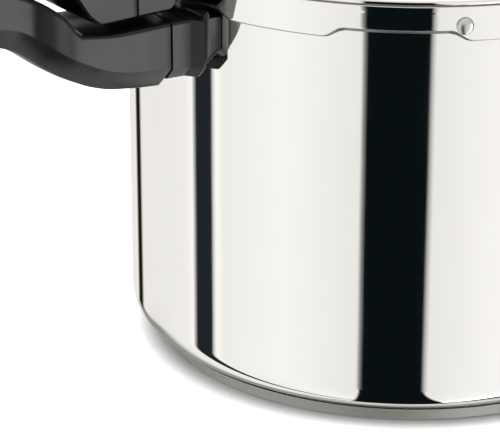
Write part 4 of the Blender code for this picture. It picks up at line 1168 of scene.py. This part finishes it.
def ground_shade(tree, way, rise, colour):
    """Below the horizon: a dark strip on the camera's side that runs on under the object, grey behind it."""
    strip_turn, narrowing = 3.75, 0.05
    heading = math.radians(CAMERA_SIDE - strip_turn)
    ahead = (math.cos(heading), math.sin(heading), 0.0)
    aside = (-ahead[1], ahead[0], 0.0)
    forward, lateral = (
        add_node(tree, "VectorMath", {0: way, 1: line}, operation="DOT_PRODUCT").outputs["Value"]
        for line in (ahead, aside))
    narrower = maths(tree, "MULTIPLY", forward, narrowing)
    width = maths(tree, "SUBTRACT", maths(tree, "ABSOLUTE", lateral), narrower)
    strip = maths(tree, "MULTIPLY", spread(tree, width, 1.0, 0.0, 0.152, 0.166),
                  spread(tree, forward, 0.0, 1.0, -0.16, -0.10))
    strip = maths(tree, "MULTIPLY", strip, spread(tree, rise, 1.0, 0.0, -0.55, -0.42))
    behind = maths(tree, "MULTIPLY", spread(tree, forward, 1.0, 0.0, -0.52, -0.26),
                   spread(tree, rise, 1.0, 0.0, -0.50, -0.41))
    colour = tint(tree, behind, colour, GREY_GROUND)
    return tint(tree, strip, colour, DARK_GAP)


def surroundings():
    """Light panels round the object, dark gaps between them, and a bright ceiling."""
    world = bpy.data.worlds.new("studio")
    bpy.context.scene.world = world
    world.use_nodes = True
    tree = world.node_tree
    tree.nodes.clear()
    way = add_node(tree, "TexCoord").outputs["Generated"]
    parts = add_node(tree, "SeparateXYZ", {0: way})
    heading = maths(tree, "ARCTAN2", parts.outputs["Y"], parts.outputs["X"])
    share = maths(tree, "MULTIPLY_ADD", heading, -1.0 / math.tau, (CAMERA_SIDE + 180.0) / 360.0)
    share = maths(tree, "FRACT", share)
    low = panel_ramp(tree, share, LOW_PANELS)
    high = panel_ramp(tree, share, HIGH_PANELS)
    rise = parts.outputs["Z"]
    above = spread(tree, rise, 0.0, 1.0, 0.0, 0.06)
    ceiling = spread(tree, rise, 0.0, 1.0, 0.76, 0.88)
    colour = add_node(tree, "Mix", {0: above, 6: low, 7: high}, data_type="RGBA").outputs[2]
    colour = tint(tree, ceiling, colour, (1.25, 1.25, 1.25))
    colour = ground_shade(tree, way, rise, colour)
    seen = add_node(tree, "LightPath").outputs["Is Camera Ray"]
    colour = tint(tree, seen, colour, (1.0, 1.0, 1.0))
    back = add_node(tree, "Background", {"Color": colour, "Strength": 1.0})
    out = add_node(tree, "OutputWorld", {"Surface": back.outputs[0]})
    out.is_active_output = True


pot_body()
base()
cooking_rack()
lid()
stop_rivet()
sealing_ring()
vent_pipe()
pressure_regulator()
overpressure_plug()
air_vent()
bracket("body_bracket_fine", "body_handle_bracket", -1, 0.1520, 0.0090, 0.0140, 0.1360, 0.1500, TONGUE_LOW,
        [(SCREW_BODY_S, 0.0)])
body_handle_guard()
body_handle()
screw("body_screw_fine", "body_handle_screw", -SCREW_BODY_S, 0.0, "pot", 0.1332, 0.1480, 0.0042)
helper_handle()
cover_handle_bracket()
cover_handle_guard()
cover_handle()
screw("cover_screw_fine", "cover_handle_screw", -SCREW_COVER_S, 0.0, "cover", 0.1598, 0.1840, 0.0042)
cover_lock()
lock_pin_spring()
stage()
surroundings()
